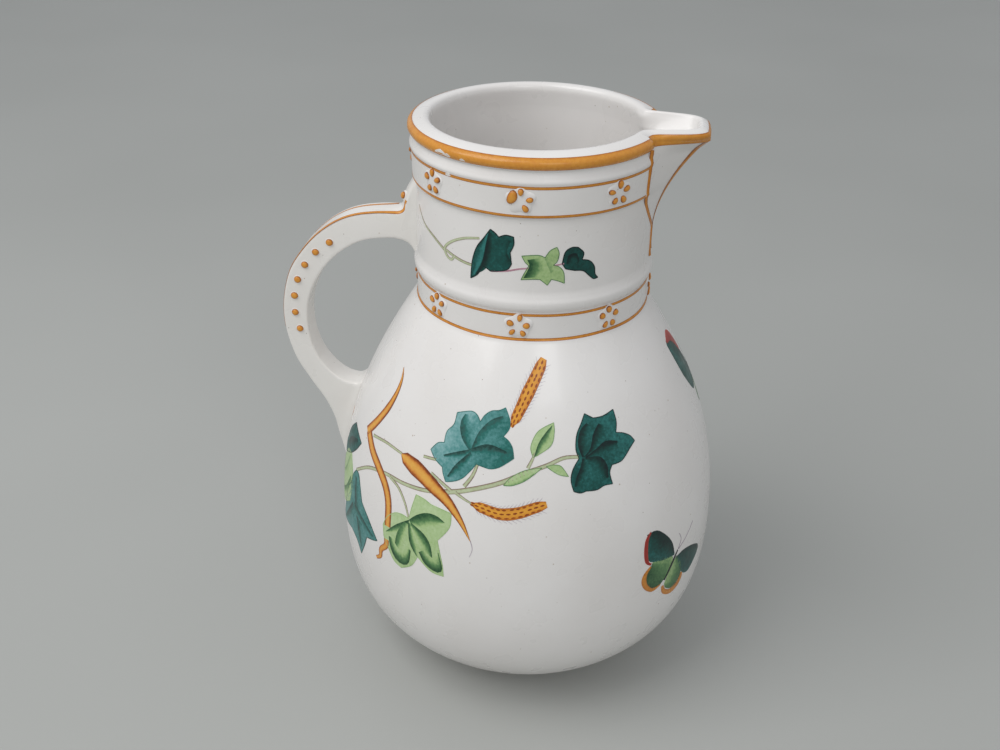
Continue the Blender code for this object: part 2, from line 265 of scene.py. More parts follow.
def beside_at(course, index, distance):
    """The point of a painted course at an index, moved to the right by a distance in mm."""
    azimuth, height = course[index]
    before = course[max(0, index - 1)]
    after = course[min(len(course) - 1, index + 1)]
    reach = radius_at(height) * math.radians(1.0)
    run = Vector(((after[0] - before[0]) * reach, after[1] - before[1])).normalized()
    return azimuth + run.y * distance / reach, height - run.x * distance


def spout_angle(height):
    """Half the angle that the spout takes up round the neck."""
    drop = (SPOUT_FULL - height) / (SPOUT_FULL - SPOUT_ROOT)
    angle = SPOUT_ANGLE * (1.0 - min(1.0, max(0.0, drop)) ** SPOUT_ANGLE_POWER)
    return max(SPOUT_LEAST_ANGLE, angle)


def keel(height):
    """How far the beak's middle line is from the axis."""
    rise = max(0.0, (height - SPOUT_ROOT) / (KEEL_TOP - SPOUT_ROOT))
    return min(LIP_REACH, NECK_RADIUS + (KEEL_REACH - NECK_RADIUS) * rise ** KEEL_POWER)


def bluntness(height):
    """0 where the beak ends in a sharp keel, 1 at the broad lip."""
    return smoothstep(NOSE_LOW, NOSE_TOP, height)


def flank_point(root, tip, nose, blunt, along):
    share = look_up(WEDGE_TABLE, along)
    share += (look_up(LIP_TABLE, along) - share) * blunt
    return root[0] + (tip - root[0]) * along, nose + (root[1] - nose) * share


def plan_point(root, tip, nose, blunt, column):
    """A point of the spout's plan on its +Y half. column is (kind, value)."""
    kind, value = column
    if kind == "flank":
        return flank_point(root, tip, nose, blunt, value)
    return tip + LIP_ROUND * blunt * (1.0 - value * value), nose * value


def outer_plan(height, column):
    """A point of the beak's outside at a height."""
    angle = math.radians(spout_angle(height))
    reference = NECK_RADIUS + (BAND_RADIUS - NECK_RADIUS) * smoothstep(*BAND_STEP, height)
    root = (reference * math.cos(angle), reference * math.sin(angle))
    blunt = bluntness(height)
    nose = NOSE_HALF + (LIP_HALF - NOSE_HALF) * blunt
    return plan_point(root, keel(height), nose, blunt, column)


def inner_plan(height, radius, column):
    """A point of the trough's surface at a height."""
    angle = math.radians(spout_angle(height))
    root = (radius * math.cos(angle), radius * math.sin(angle))
    blunt = bluntness(height)
    nose = max(0.4, NOSE_HALF + (LIP_HALF - NOSE_HALF) * blunt - LIP_WALL)
    tip = max(radius, keel(height) - KEEL_WALL)
    return plan_point(root, tip, nose, blunt, column)


def spout_columns():
    """(side, column, share of the half-angle) from the +Y junction round the nose to the -Y one."""
    half = [("flank", step) for step in FLANK_STEPS] + [("nose", step) for step in NOSE_STEPS]
    count = len(half)
    columns = [(1.0, column, 1.0 - index / count) for index, column in enumerate(half)]
    middle = [(1.0, ("nose", 0.0), 0.0)]
    return columns + middle + [(-1.0, column, share) for _, column, share in reversed(columns)]


SPOUT_COLUMNS = spout_columns()


def spout_point(row, column):
    radius, height, skin = row
    side, kind, share = column
    turn = math.radians(spout_angle(height)) * share
    circle = (radius * math.cos(turn), radius * math.sin(turn))
    if height < SPOUT_ROOT or share == 1.0:
        return Vector((circle[0], side * circle[1], height))
    outside = outer_plan(height, kind)
    if skin < 1.0:
        bore = min(radius, BORE)
        bore_circle = (bore * math.cos(turn), bore * math.sin(turn))
        opening = smoothstep(*TROUGH, height)
        inside = lerp(bore_circle, inner_plan(height, bore, kind), opening)
        place = lerp(inside, outside, skin)
    else:
        place = outside
    return Vector((place[0], side * place[1], height))


def ring(row):
    """All the points round the pitcher at one row of its profile."""
    points = [spout_point(row, column) for column in SPOUT_COLUMNS]
    start = spout_angle(row[1])
    for index in range(1, BODY_COLUMNS):
        angle = math.radians(-start - (360.0 - 2 * start) * index / BODY_COLUMNS)
        points.append(Vector((row[0] * math.cos(angle), row[0] * math.sin(angle), row[1])))
    return points


def profile_rows():
    """(radius, height, skin) from the middle of the floor over the rim to the foot.

    skin is 0 on the inside, 1 on the outside and between them over the rim."""
    inner = inner_curve(BELLY_CURVE)
    low = [(0.5, FLOOR), (14.0, FLOOR + 0.1), (28.0, FLOOR + 0.6), (36.0, FLOOR + 2.0)]
    start = SHOULDER[1] - 2.0
    bore = [(BORE, start + (BORE_TOP - start) * step / 40) for step in range(41)]
    mouth = smooth([(BORE, MOUTH_LOW)] + MOUTH[::-1] + NECK_OUTLINE[:4], 5)
    rows = []
    for radius, height in low + inner[::-1] + bore + mouth:
        skin = 0.0
        if height > LIP_RISE:
            skin = min(1.0, max(0.0, (radius - RIM_IN) / (RIM_OUT - RIM_IN)))
        rows.append((radius, height, skin))
    start = next(index for index, point in enumerate(RIM_CURVE) if point[1] < NECK_OUTLINE[3][1])
    outer = RIM_CURVE[start:] + plain_neck() + BELLY_CURVE + HEEL_ROUND
    outer = sorted(set(outer), key=lambda point: -point[1])
    return rows + [(radius, height, 1.0) for radius, height in outer + FOOT]


def plain_neck():
    """Extra rows where the outline's own points are far apart but the spout or a line needs them."""
    heights = [177.5 + step for step in range(1, 26)] + [159.7 + step for step in range(10)]
    return [(radius_at(height), height) for height in heights]


# ---------------------------------------------------------------- materials

def srgb(red, green, blue):
    linear = []
    for value in (red, green, blue):
        share = value / 255.0
        linear.append(share / 12.92 if share <= 0.04045 else ((share + 0.055) / 1.055) ** 2.4)
    return (*linear, 1.0)


class Shade:
    """A Principled material and short ways to add its nodes."""

    def __init__(self, name, roughness, coat=0.0):
        self.material = bpy.data.materials.new(name)
        self.material.use_nodes = True
        self.tree = self.material.node_tree
        self.shader = self.tree.nodes["Principled BSDF"]
        self.fill(self.shader, {"Roughness": roughness, "Coat Weight": coat, "Coat Roughness": 0.1})
        self.place = self.node("ShaderNodeTexCoord").outputs["Object"]

    def fill(self, node, values):
        """Set sockets by name or number: a link where the value is another node's output."""
        for key, value in values.items():
            if isinstance(value, bpy.types.NodeSocket):
                self.tree.links.new(value, node.inputs[key])
            else:
                node.inputs[key].default_value = value

    def node(self, kind, values=None, **settings):
        made = self.tree.nodes.new(kind)
        for key, value in settings.items():
            setattr(made, key, value)
        self.fill(made, values or {})
        return made

    def noise(self, scale, detail=3.0, roughness=0.5):
        values = {"Vector": self.place, "Scale": scale, "Detail": detail, "Roughness": roughness}
        return self.node("ShaderNodeTexNoise", values).outputs["Fac"]

    def ramp(self, source, stops):
        """Colours by position; stops are (position, red, green, blue) with 0 to 255 colours."""
        made = self.node("ShaderNodeValToRGB", {"Fac": source})
        elements = made.color_ramp.elements
        while len(elements) < len(stops):
            elements.new(0.5)
        for element, (position, *color) in zip(elements, stops):
            element.position = position
            element.color = srgb(*color)
        return made.outputs["Color"]

    def scaled(self, source, low, high, to_low, to_high):
        values = {"Value": source, "From Min": low, "From Max": high, "To Min": to_low, "To Max": to_high}
        return self.node("ShaderNodeMapRange", values).outputs["Result"]

    def math(self, operation, first, second):
        return self.node("ShaderNodeMath", {0: first, 1: second}, operation=operation).outputs["Value"]

    def mix(self, share, first, second):
        return self.node("ShaderNodeMix", {0: share, 6: first, 7: second}, data_type="RGBA").outputs[2]

    def bump(self, source, strength, distance):
        values = {"Height": source, "Strength": strength, "Distance": distance * MM}
        self.fill(self.shader, {"Normal": self.node("ShaderNodeBump", values).outputs["Normal"]})

    def specks(self, scale, size, share):
        """1 inside a few of the cells' centres, 0 elsewhere."""
        cells = self.node("ShaderNodeTexVoronoi", {"Scale": scale, "Vector": self.place})
        split = self.node("ShaderNodeSeparateColor", {"Color": cells.outputs["Color"]})
        chosen = self.math("GREATER_THAN", split.outputs["Red"], 1.0 - share)
        dot = self.scaled(cells.outputs["Distance"], 0.4 * size, size, 1.0, 0.0)
        return self.math("MULTIPLY", chosen, dot)


def glaze_material(name, light, dark):
    """White glaze: soft cloudy tone, brown specks, pin holes and a wavy, slightly uneven gloss."""
    shade = Shade(name, 0.3, 0.22)
    tone = shade.ramp(shade.noise(22.0, 4.0), [(0.3, *dark), (0.7, *light)])
    speck = shade.specks(330.0, 0.13, 0.05)
    stain = shade.mix(speck, tone, srgb(182, 168, 152))
    pin = shade.specks(700.0, 0.16, 0.02)
    color = shade.mix(pin, stain, srgb(138, 124, 110))
    rough = shade.scaled(shade.noise(90.0, 2.0), 0.3, 0.7, 0.24, 0.36)
    shade.fill(shade.shader, {"Base Color": color, "Roughness": rough})
    wave = shade.noise(38.0, 2.0)
    pit = shade.math("MULTIPLY", pin, -0.4)
    shade.bump(shade.math("ADD", wave, pit), 0.2, 0.25)
    return shade.material


def paint_material(name, stops, speckle=0.16, roughness=0.34):
    """Enamel whose colour runs along stops with the painted depth, with a watery speckle."""
    shade = Shade(name, roughness, 0.05)
    depth = shade.node("ShaderNodeAttribute", attribute_name="depth").outputs["Fac"]
    fine = shade.scaled(shade.noise(900.0, 3.0, 0.6), 0.25, 0.75, -speckle, speckle)
    broad = shade.scaled(shade.noise(190.0, 2.0), 0.3, 0.7, -0.5 * speckle, 0.5 * speckle)
    wash = shade.math("ADD", depth, shade.math("ADD", fine, broad))
    rough = shade.scaled(shade.noise(260.0, 2.0), 0.3, 0.7, roughness - 0.06, roughness + 0.08)
    color = shade.ramp(wash, stops)
    shade.fill(shade.shader, {"Base Color": color, "Roughness": rough, "Specular IOR Level": 0.36})
    shade.bump(shade.noise(600.0, 2.0), 0.12, 0.06)
    return shade.material


WHITE = glaze_material("white_glaze", (232, 229, 226), (224, 220, 216))
HANDLE_WHITE = glaze_material("handle_glaze", (232, 229, 224), (223, 219, 213))
OCHRE = paint_material("ochre_enamel",
    [(0, 218, 154, 62), (0.4, 198, 126, 44), (0.75, 160, 92, 30), (1, 112, 58, 20)], 0.14, 0.26)
TEAL = paint_material("teal_leaf",
    [(0, 132, 174, 174), (0.3, 84, 142, 140), (0.6, 30, 104, 96), (0.8, 40, 84, 78), (1, 14, 54, 48)])
DARK_TEAL = paint_material("dark_teal_leaf",
    [(0, 44, 116, 112), (0.35, 10, 76, 70), (0.7, 2, 50, 44), (1, 2, 28, 28)], 0.2)
GREEN = paint_material("light_green_leaf",
    [(0, 186, 206, 160), (0.3, 160, 188, 128), (0.6, 92, 134, 84), (1, 30, 74, 44)], 0.12)
STEM = paint_material("sage_stem",
    [(0, 190, 200, 164), (0.4, 166, 172, 136), (0.7, 134, 112, 98), (1, 108, 70, 70)], 0.14)
CATKIN = paint_material("catkin_ochre",
    [(0, 226, 162, 58), (0.4, 206, 130, 40), (0.75, 158, 80, 24), (1, 110, 44, 16)], 0.12)
TWIG = paint_material("twig_ochre",
    [(0, 224, 168, 78), (0.45, 206, 134, 56), (0.75, 162, 86, 30), (1, 108, 48, 22)], 0.14)
HAIR = paint_material("fine_hair", [(0, 196, 188, 194), (1, 140, 124, 140)], 0.1)
PINK = paint_material("rose_stem", [(0, 204, 168, 178), (1, 160, 96, 116)], 0.2)
RED = paint_material("red_wing_edge", [(0, 196, 66, 50), (1, 136, 34, 30)], 0.15)
BLACK = paint_material("dark_body", [(0, 60, 62, 66), (1, 16, 24, 28)], 0.1)
CHIP = paint_material("bare_chip", [(0, 232, 230, 226), (1, 206, 198, 190)], 0.1)


# ---------------------------------------------------------------- pieces

def new_piece(name, mesh, materials, slot, replaced=None):
    piece = bpy.data.objects.new(name, mesh)
    bpy.context.scene.collection.objects.link(piece)
    for material in materials:
        mesh.materials.append(material)
    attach(piece, BODY)
    if replaced:
        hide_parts(replaced)
    return piece


def mesh_of(name, points, faces):
    mesh = bpy.data.meshes.new(name)
    mesh.from_pydata([tuple(point * MM) for point in points], [], faces)
    mesh.update()
    return mesh


def closed_rows(count, width):
    """The faces between rows of points that close on themselves sideways."""
    faces = []
    for line in range(count - 1):
        for column in range(width):
            after = (column + 1) % width
            faces.append((line * width + column, line * width + after,
                          (line + 1) * width + after, (line + 1) * width + column))
    return faces


def store_depths(mesh, depths):
    store = mesh.attributes.new("depth", "FLOAT", "POINT")
    store.data.foreach_set("value", depths)


def weld(builder):
    bmesh.ops.remove_doubles(builder, verts=builder.verts, dist=WELD * MM)
    bmesh.ops.dissolve_degenerate(builder, edges=builder.edges, dist=0.5 * WELD * MM)


def tidy_mesh(mesh, sharp_angle):
    """Drop loose points, close open ends, weld, turn every face outwards and shade it smooth."""
    builder = bmesh.new()
    builder.from_mesh(mesh)
    loose = [vert for vert in builder.verts if not vert.link_faces]
    bmesh.ops.delete(builder, geom=loose, context="VERTS")
    ends = [edge for edge in builder.edges if edge.is_boundary]
    bmesh.ops.holes_fill(builder, edges=ends, sides=0)
    weld(builder)
    bmesh.ops.recalc_face_normals(builder, faces=builder.faces)
    builder.to_mesh(mesh)
    builder.free()
    mesh.shade_smooth()
    mesh.set_sharp_from_angle(angle=math.radians(sharp_angle))


class Film:
    """Thin enamel laid on the glaze, gathered into one mesh with a depth of colour."""

    def __init__(self, name, material, layer=0, slot="glazed_body"):
        self.name = name
        self.material = material
        self.slot = slot
        self.lift = PAINT_LIFT + STEP_LIFT * layer
        self.points = []
        self.outward = []
        self.depths = []
        self.faces = []

    def grid(self, rows):
        """rows of (point, normal, depth), all of the same length."""
        start = len(self.points)
        width = len(rows[0])
        for row in rows:
            for point, normal, depth in row:
                self.points.append(point)
                self.outward.append(normal)
                self.depths.append(depth)
        for line in range(len(rows) - 1):
            for column in range(width - 1):
                first = start + line * width + column
                self.faces.append((first, first + 1, first + width + 1, first + width))

    def sheet(self, rows, extra=0.0):
        """rows of (azimuth, height, depth) on the wall."""
        lift = self.lift + extra
        self.grid([[(*on_wall(azimuth, height, lift), depth) for azimuth, height, depth in row]
                   for row in rows])

    def band(self, course, width, across, extra=0.0):
        """A shape painted along a course, with its full width by share of the way, and depths across."""
        last = len(course) - 1
        lines = []
        for lane, depth in enumerate(across):
            side = lane / (len(across) - 1) - 0.5
            line = []
            for index in range(last + 1):
                distance = side * look_up(width, index / last)
                line.append((*beside_at(course, index, distance), depth))
            lines.append(line)
        self.sheet(lines, extra)

    def stroke(self, points, widths, across, extra=0.0, cuts=6):
        """A brush line through painted points. widths are at its start, middle and end."""
        self.band(smooth(points, cuts), list(zip((0.0, 0.5, 1.0), widths)), across, extra)

    def ribbon(self, course, widths, across):
        """A line through (point, normal) pairs anywhere on the pitcher."""
        last = len(course) - 1
        table = list(zip((0.0, 0.5, 1.0), widths))
        rows = []
        for index, (point, normal) in enumerate(course):
            run = course[min(last, index + 1)][0] - course[max(0, index - 1)][0]
            side = run.cross(normal).normalized()
            width = look_up(table, index / last)
            row = []
            for lane, depth in enumerate(across):
                share = lane / (len(across) - 1) - 0.5
                row.append((point + normal * self.lift + side * share * width, normal, depth))
            rows.append(row)
        self.grid(rows)

    def finish(self):
        mesh = mesh_of(self.name, self.points, self.faces)
        store_depths(mesh, [min(1.0, max(0.0, depth)) for depth in self.depths])
        builder = bmesh.new()
        builder.from_mesh(mesh)
        for face in builder.faces:
            outward = sum((self.outward[vert.index] for vert in face.verts), Vector())
            face.normal_update()
            if face.normal.dot(outward) < 0:
                face.normal_flip()
            face.smooth = True
        weld(builder)
        for edge in builder.edges:
            edge.smooth = not edge.is_boundary
        builder.to_mesh(mesh)
        builder.free()
        piece = new_piece(self.name, mesh, [self.material], self.slot)
        film = piece.modifiers.new("film", "SOLIDIFY")
        film.thickness = FILM * MM
        film.offset = -1.0


def half_lobe(film, centre, edge, tone, steps=9, rows=5):
    """The part of a leaf between a lobe's middle rib and one of its edges, notch first."""
    edge = resample(smooth(edge, 5), steps)
    ribs = [lerp(centre, edge[-1], index / steps) for index in range(steps + 1)]
    lines = []
    for row in range(rows + 1):
        line = [lerp(rib, point, row / rows) for rib, point in zip(ribs, edge)]
        lines.append([(*point, tone(point)) for point in line])
    film.sheet(lines)


def fold(film, crisp, faded, dark, tone, raised, steps=12, rows=5):
    """A shaded fold: dark along its crisp edge, running out to the leaf's own depth."""
    crisp = resample(smooth(crisp, 5), steps)
    faded = resample(smooth(faded, 5), steps)
    lines = []
    for row in range(rows + 1):
        fade = smoothstep(0.0, 1.0, row / rows)
        line = [lerp(a, b, row / rows) for a, b in zip(crisp, faded)]
        lines.append([(*point, dark + (tone(point) - dark) * fade) for point in line])
    film.sheet(lines, STEP_LIFT + raised)


def shifted(points, turn, rise=0.0):
    return [(azimuth + turn, height + rise) for azimuth, height in points]


def leaf(name, material, centre, lobes, folds, turn, depth, tilt=(0.0, 0.0), rim=0.9, rim_width=0.3):
    """A lobed leaf. Each lobe is (notch, rising edge, tip, falling edge), each fold (crisp edge,
    faded edge, depth of colour), with points in degrees and mm from the leaf's centre. The colour
    is depth at the centre and changes by tilt per degree and per mm."""
    film = Film(name, material)
    centre = (centre[0] + turn, centre[1])

    def tone(point):
        return depth + tilt[0] * (point[0] - centre[0]) + tilt[1] * (point[1] - centre[1])

    for (notch, rising, tip, falling), following in zip(lobes, lobes[1:] + lobes[:1]):
        first = shifted([notch, *rising, tip], *centre)
        second = shifted([tip, *falling, following[0]], *centre)
        half_lobe(film, centre, first, tone)
        half_lobe(film, centre, second[::-1], tone)
        for edge in (first, second):
            film.stroke(edge, 3 * (rim_width,), (rim, rim), 1.5 * STEP_LIFT)
    for layer, (crisp, faded, dark) in enumerate(folds):
        fold(film, shifted(crisp, *centre), shifted(faded, *centre), dark, tone, FOLD_LIFT * layer)
    film.finish()


# ---------------------------------------------------------------- body, spout, handle

def normals_of(rows):
    """Rough outward normals of a grid of points that closes on itself sideways."""
    found = []
    for index, row in enumerate(rows):
        above = rows[max(0, index - 1)]
        below = rows[min(len(rows) - 1, index + 1)]
        count = len(row)
        line = []
        for column in range(count):
            along = row[(column + 1) % count] - row[column - 1]
            down = below[column] - above[column]
            line.append(along.cross(down).normalized())
        found.append(line)
    return found


def build_body_and_spout():
    """One turned surface, parted into the pot and its spout. Returns its rows and rings of points."""
    rows = profile_rows()
    rings = [ring(row) for row in rows]
    width = len(rings[0])
    spout_width = len(SPOUT_COLUMNS) - 1
    points = [point for line in rings for point in line]
    above = [index for index, row in enumerate(rows) if row[1] >= SEAM_LOW]
    first_row = above[0]
    last_row = above[-1]
    body_faces = []
    spout_faces = []
    for index, face in enumerate(closed_rows(len(rows), width)):
        line, column = divmod(index, width)
        in_spout = column < spout_width and first_row <= line < last_row
        (spout_faces if in_spout else body_faces).append(face)
    seal = seam_faces(rows, width, spout_width, first_row, last_row)
    for name, faces, slot, node in (("glazed_pitcher_body", body_faces, "glazed_body", "body"),
                                    ("glazed_pouring_spout", spout_faces, "glazed_spout", "spout")):
        mesh = mesh_of(name, points, faces + seal)
        tidy_mesh(mesh, 48.0)
        new_piece(name, mesh, [WHITE], slot, node)
    return rows, rings


def seam_faces(rows, width, spout_width, first_row, last_row):
    """The joint faces between body and spout: a strip of triangles through the wall at each side,
    drawn upwards between its inside and its outside, and a floor across the bottom."""
    inner_top = max(index for index in range(first_row, last_row + 1) if rows[index][2] == 0.0)
    outer_start = next(i for i in range(inner_top, last_row + 1) if rows[i][1] < rows[inner_top][1])
    faces = []
    for column in (0, spout_width):
        low = first_row
        high = last_row
        while high - low >= 2:
            inside_is_lower = rows[low + 1][1] <= rows[high - 1][1] and low + 1 <= inner_top
            climb_inside = inside_is_lower or high - 1 <= outer_start
            middle = low + 1 if climb_inside else high - 1
            faces.append(tuple(row * width + column for row in (low, high, middle)))
            if climb_inside:
                low = middle
            else:
                high = middle
    bottom = first_row * width
    top = last_row * width
    for column in range(spout_width):
        faces.append((bottom + column, bottom + column + 1, top + column + 1, top + column))
    return faces


def distance_to_wall(point):
    """How far a point beside the neck or the belly is from the turned outside."""
    slope = slope_at(point.z, 0.5)
    return (math.hypot(point.x, point.y) - radius_at(point.z)) / math.sqrt(1.0 + slope * slope)


def handle_sections():
    """(middle, outward half axis, facing, bulge) of each section, from the neck to the belly."""
    outer = smooth([pair[0] for pair in HANDLE_SECTIONS], HANDLE_CUTS)
    inner = smooth([pair[1] for pair in HANDLE_SECTIONS], HANDLE_CUTS)
    last = len(outer) - 1
    found = []
    for index, ((u0, z0), (u1, z1)) in enumerate(zip(outer, inner)):
        top = Vector((-u0, 0.0, z0))
        low = Vector((-u1, 0.0, z1))
        before = outer[max(0, index - 2)]
        after = outer[min(last, index + 2)]
        facing = Vector((after[1] - before[1], 0.0, after[0] - before[0])).normalized()
        bulge = CREST_BULGE * smoothstep(*CREST_FOOT, z0)
        found.append(((top + low) * 0.5, (top - low) * 0.5, facing, bulge))
    return found


HANDLE = handle_sections()


def handle_ring(middle, axis, facing, bulge):
    """The points round one section, spread out where it meets the wall."""
    across = Vector((0.0, 1.0, 0.0))
    points = []
    for index in range(HANDLE_SIDES):
        angle = math.tau * index / HANDLE_SIDES
        c = math.cos(angle)
        s = math.sin(angle)
        x = math.copysign(abs(c) ** HANDLE_SQUARENESS, c)
        y = math.copysign(abs(s) ** HANDLE_SQUARENESS, s)
        round_off = bulge * y * y * max(0.0, x)
        point = middle + axis * x - facing * round_off + across * (y * HANDLE_HALF)
        gap = distance_to_wall(point)
        if gap < FILLET:
            depth = FILLET - max(0.0, gap)
            wall_normal = Vector((point.x, point.y, 0.0)).normalized()
            spread = point - middle
            spread -= wall_normal * spread.dot(wall_normal)
            if spread.length > 0:
                point = point + spread.normalized() * FLARE * (depth / FILLET) ** 2
        points.append(point)
    return points


def build_handle():
    rings = [handle_ring(*section) for section in HANDLE]
    points = [point for line in rings for point in line]
    faces = closed_rows(len(rings), HANDLE_SIDES)
    faces.append(tuple(range(HANDLE_SIDES)))
    faces.append(tuple(len(points) - 1 - index for index in range(HANDLE_SIDES)))
    mesh = mesh_of("glazed_strap_handle", points, faces)
    tidy_mesh(mesh, 60.0)
    new_piece("glazed_strap_handle", mesh, [HANDLE_WHITE], "glazed_handle", "handle")


def handle_face(position, side):
    """A point and normal on the handle's outer face. side runs from -1, near, to 1, far."""
    middle, axis, facing, bulge = HANDLE[position]
    rise = (1.0 - abs(side) ** (2.0 / HANDLE_SQUARENESS)) ** (0.5 * HANDLE_SQUARENESS)
    point = middle + axis * rise - facing * (bulge * side * side) + Vector((0.0, side * HANDLE_HALF, 0.0))
    lean = 0.8 * abs(side) ** 12 + 2.0 * bulge * abs(side) / HANDLE_HALF
    return point, (facing + Vector((0.0, math.copysign(lean, side), 0.0))).normalized()


def build_handle_lines():
    """The far line, the near line and the short one on the crest."""
    film = Film("handle_enamel_lines", OCHRE, slot="ochre_beads")
    for first, last, side, widths in ((51, 85, 0.5, (1.3, 1.0, 0.5)), (34, 117, -0.9, (1.2, 1.3, 0.3)),
                                      (13, 29, 0.45, (0.8, 1.2, 0.8))):
        course = [handle_face(position, side) for position in range(first, last + 1)]
        film.ribbon(course, widths, (0.75, 0.3, 0.2, 0.3, 0.75))
    film.finish()


# ---------------------------------------------------------------- relief: beads and flowers

DOME_LEVELS = [(1.0, 0.12), (0.93, 0.42), (0.8, 0.68), (0.58, 0.88), (0.3, 0.97)]
MOUND_LEVELS = [(0.94, 0.02), (0.84, 0.3), (0.7, 0.7), (0.5, 0.9), (0.25, 0.98)]
# Depth of colour at the sunk rim and at each level upwards, then at the apex: dark at the rim for the
# enamel's outline, then lighter towards the top as a painted highlight.
LEVEL_DEPTHS_OUTLINE_TO_HIGHLIGHT = (1.0, 0.95, 0.62, 0.4, 0.22, 0.12)
APEX_HIGHLIGHT_DEPTH = 0.08
SINK = 0.25                # how deep a dome's rim is sunk
UPPER_BAND_LOW = 190.0     # flowers above this height are in the upper band


class Relief:
    """Closed low domes that stand on a surface, gathered into one mesh."""

    def __init__(self):
        self.points = []
        self.depths = []
        self.faces = []
        self.marks = []

    def dome(self, origin, axes, outline, height, shape, mark):
        """A dome over an outline round (0, 0), with its rim sunk in the surface. Its colour is deep
        round the rim, the enamel's dark outline, and light on top, a painted highlight; mark is its
        material's number."""
        right, up, out = axes
        count = len(outline)
        start = len(self.points)
        levels = [(1.0, -SINK / height), *shape]
        for (share, rise), depth in zip(levels, LEVEL_DEPTHS_OUTLINE_TO_HIGHLIGHT):
            for x, y in outline:
                self.points.append(origin + right * x * share + up * y * share + out * rise * height)
                self.depths.append(depth)
        last = start + (len(levels) - 1) * count
        apex = len(self.points)
        self.points.append(origin + out * height)
        self.depths.append(APEX_HIGHLIGHT_DEPTH)
        for face in closed_rows(len(levels), count):
            self.faces.append(tuple(start + corner for corner in face))
        for index in range(count):
            self.faces.append((last + index, last + (index + 1) % count, apex))
        self.faces.append(tuple(start + index for index in reversed(range(count))))
        self.marks += [mark] * (len(self.faces) - len(self.marks))

    def finish(self, name, white, slot, node):
        mesh = mesh_of(name, self.points, self.faces)
        for polygon, mark in zip(mesh.polygons, self.marks):
            polygon.material_index = mark
        store_depths(mesh, self.depths)
        tidy_mesh(mesh, 70.0)
        new_piece(name, mesh, [white, OCHRE], slot, node)


def oval(width, length, count, swell=0.0):
    """An oval outline about (0, 0); swell makes its +Y end the broader one."""
    points = []
    for index in range(count):
        angle = math.tau * index / count
        y = math.sin(angle)
        points.append((0.5 * width * math.cos(angle) * (1.0 + swell * y), 0.5 * length * y))
    return points


def middle_of(node):
    low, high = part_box(node)
    return (Vector(low) + Vector(high)) * 0.5 / MM


def build_flower(node, seed):
    """Five enamelled petals on a low white mound; one flower in front has a fused double petal."""
    dice = random.Random(seed)
    middle = middle_of(node)
    azimuth = math.degrees(math.atan2(middle.y, middle.x))
    surface, out = on_wall(azimuth, middle.z)
    right = Vector((-math.sin(math.radians(azimuth)), math.cos(math.radians(azimuth)), 0.0))
    up = out.cross(right)
    relief = Relief()
    lobes = []
    for index in range(40):
        angle = math.tau * index / 40
        radius = 4.9 + 0.5 * math.cos(5 * (angle - 0.25 * math.tau))
        lobes.append((radius * math.cos(angle), radius * math.sin(angle)))
    relief.dome(surface, (right, up, out), lobes, 0.45, MOUND_LEVELS, 0)
    upper = surface.z > UPPER_BAND_LOW
    lean = dice.uniform(-14.0, 14.0) if upper else dice.uniform(-4.0, 4.0)
    fused = upper and abs(azimuth + 90.0) < 5.0
    for index in range(5):
        if fused and index == 2:
            continue
        spin = math.radians(90.0 + lean + 72.0 * index + dice.uniform(-7.0, 7.0))
        length = dice.uniform(2.5, 3.2)
        width = dice.uniform(1.8, 2.4)
        reach = dice.uniform(2.9, 3.3)
        if fused and index == 1:
            spin = math.radians(158.0)
            length = 3.4
            width = 5.0
        along = right * math.cos(spin) + up * math.sin(spin)
        centre = surface + along * reach + out * 0.28
        petal = oval(width, length, 20, 0.16)
        relief.dome(centre, (along.cross(out), along, out), petal, dice.uniform(0.75, 0.95), DOME_LEVELS, 1)
    relief.finish(node + "_relief", WHITE, "relief_flowers", node)


def build_bead(node, out, crest=False):
    """An enamelled bead on a low white mound."""
    dice = random.Random(node)
    back = CREST_SEAT if crest else middle_of(node) - out * 0.9
    up = (Vector((0.0, 0.0, 1.0)) - out * out.z).normalized()
    axes = (up.cross(out), up, out)
    relief = Relief()
    mound = 4.0 if crest else 4.8
    relief.dome(back, axes, oval(mound, mound, 24), 0.42, MOUND_LEVELS, 0)
    size = dice.uniform(2.75, 3.05)
    relief.dome(back + out * 0.2, axes, oval(size, size * 0.97, 20), 1.05, DOME_LEVELS, 1)
    relief.finish(node + "_dome", HANDLE_WHITE, "ochre_beads", node)


def build_relief():
    for index, node in enumerate(sorted(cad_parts)):
        if "flower" in node:
            build_flower(node, 100 + index)
        elif "bead_near" in node:
            build_bead(node, Vector((0.0, -1.0, 0.0)))
        elif "bead_far" in node:
            build_bead(node, Vector((0.0, 1.0, 0.0)))
        elif node == "crest_bead":
            build_bead(node, Vector((-0.82, -0.5, 0.28)).normalized(), True)


# ---------------------------------------------------------------- enamel lines

def build_rim_enamel(rows, rings):
    normals = normals_of(rings)
    film = Film("rim_enamel", OCHRE, slot="ochre_beads")
    chosen = [index for index, (_, height, skin) in enumerate(rows)
              if skin > 0.72 and RIM_ENAMEL_LOW <= height <= RIM_ENAMEL_TOP]
    lines = []
    for order, index in enumerate(chosen):
        edge = min(order, len(chosen) - 1 - order)
        depth = {0: 0.75, 1: 0.35}.get(edge, 0.22)
        line = []
        for point, normal in zip(rings[index], normals[index]):
            if normal.dot(Vector((point.x, point.y, 0.0))) < 0:
                normal = -normal
            line.append((point + normal * ENAMEL_LIFT, normal, depth))
        lines.append(line + line[:1])
    film.grid(lines)
    film.finish()


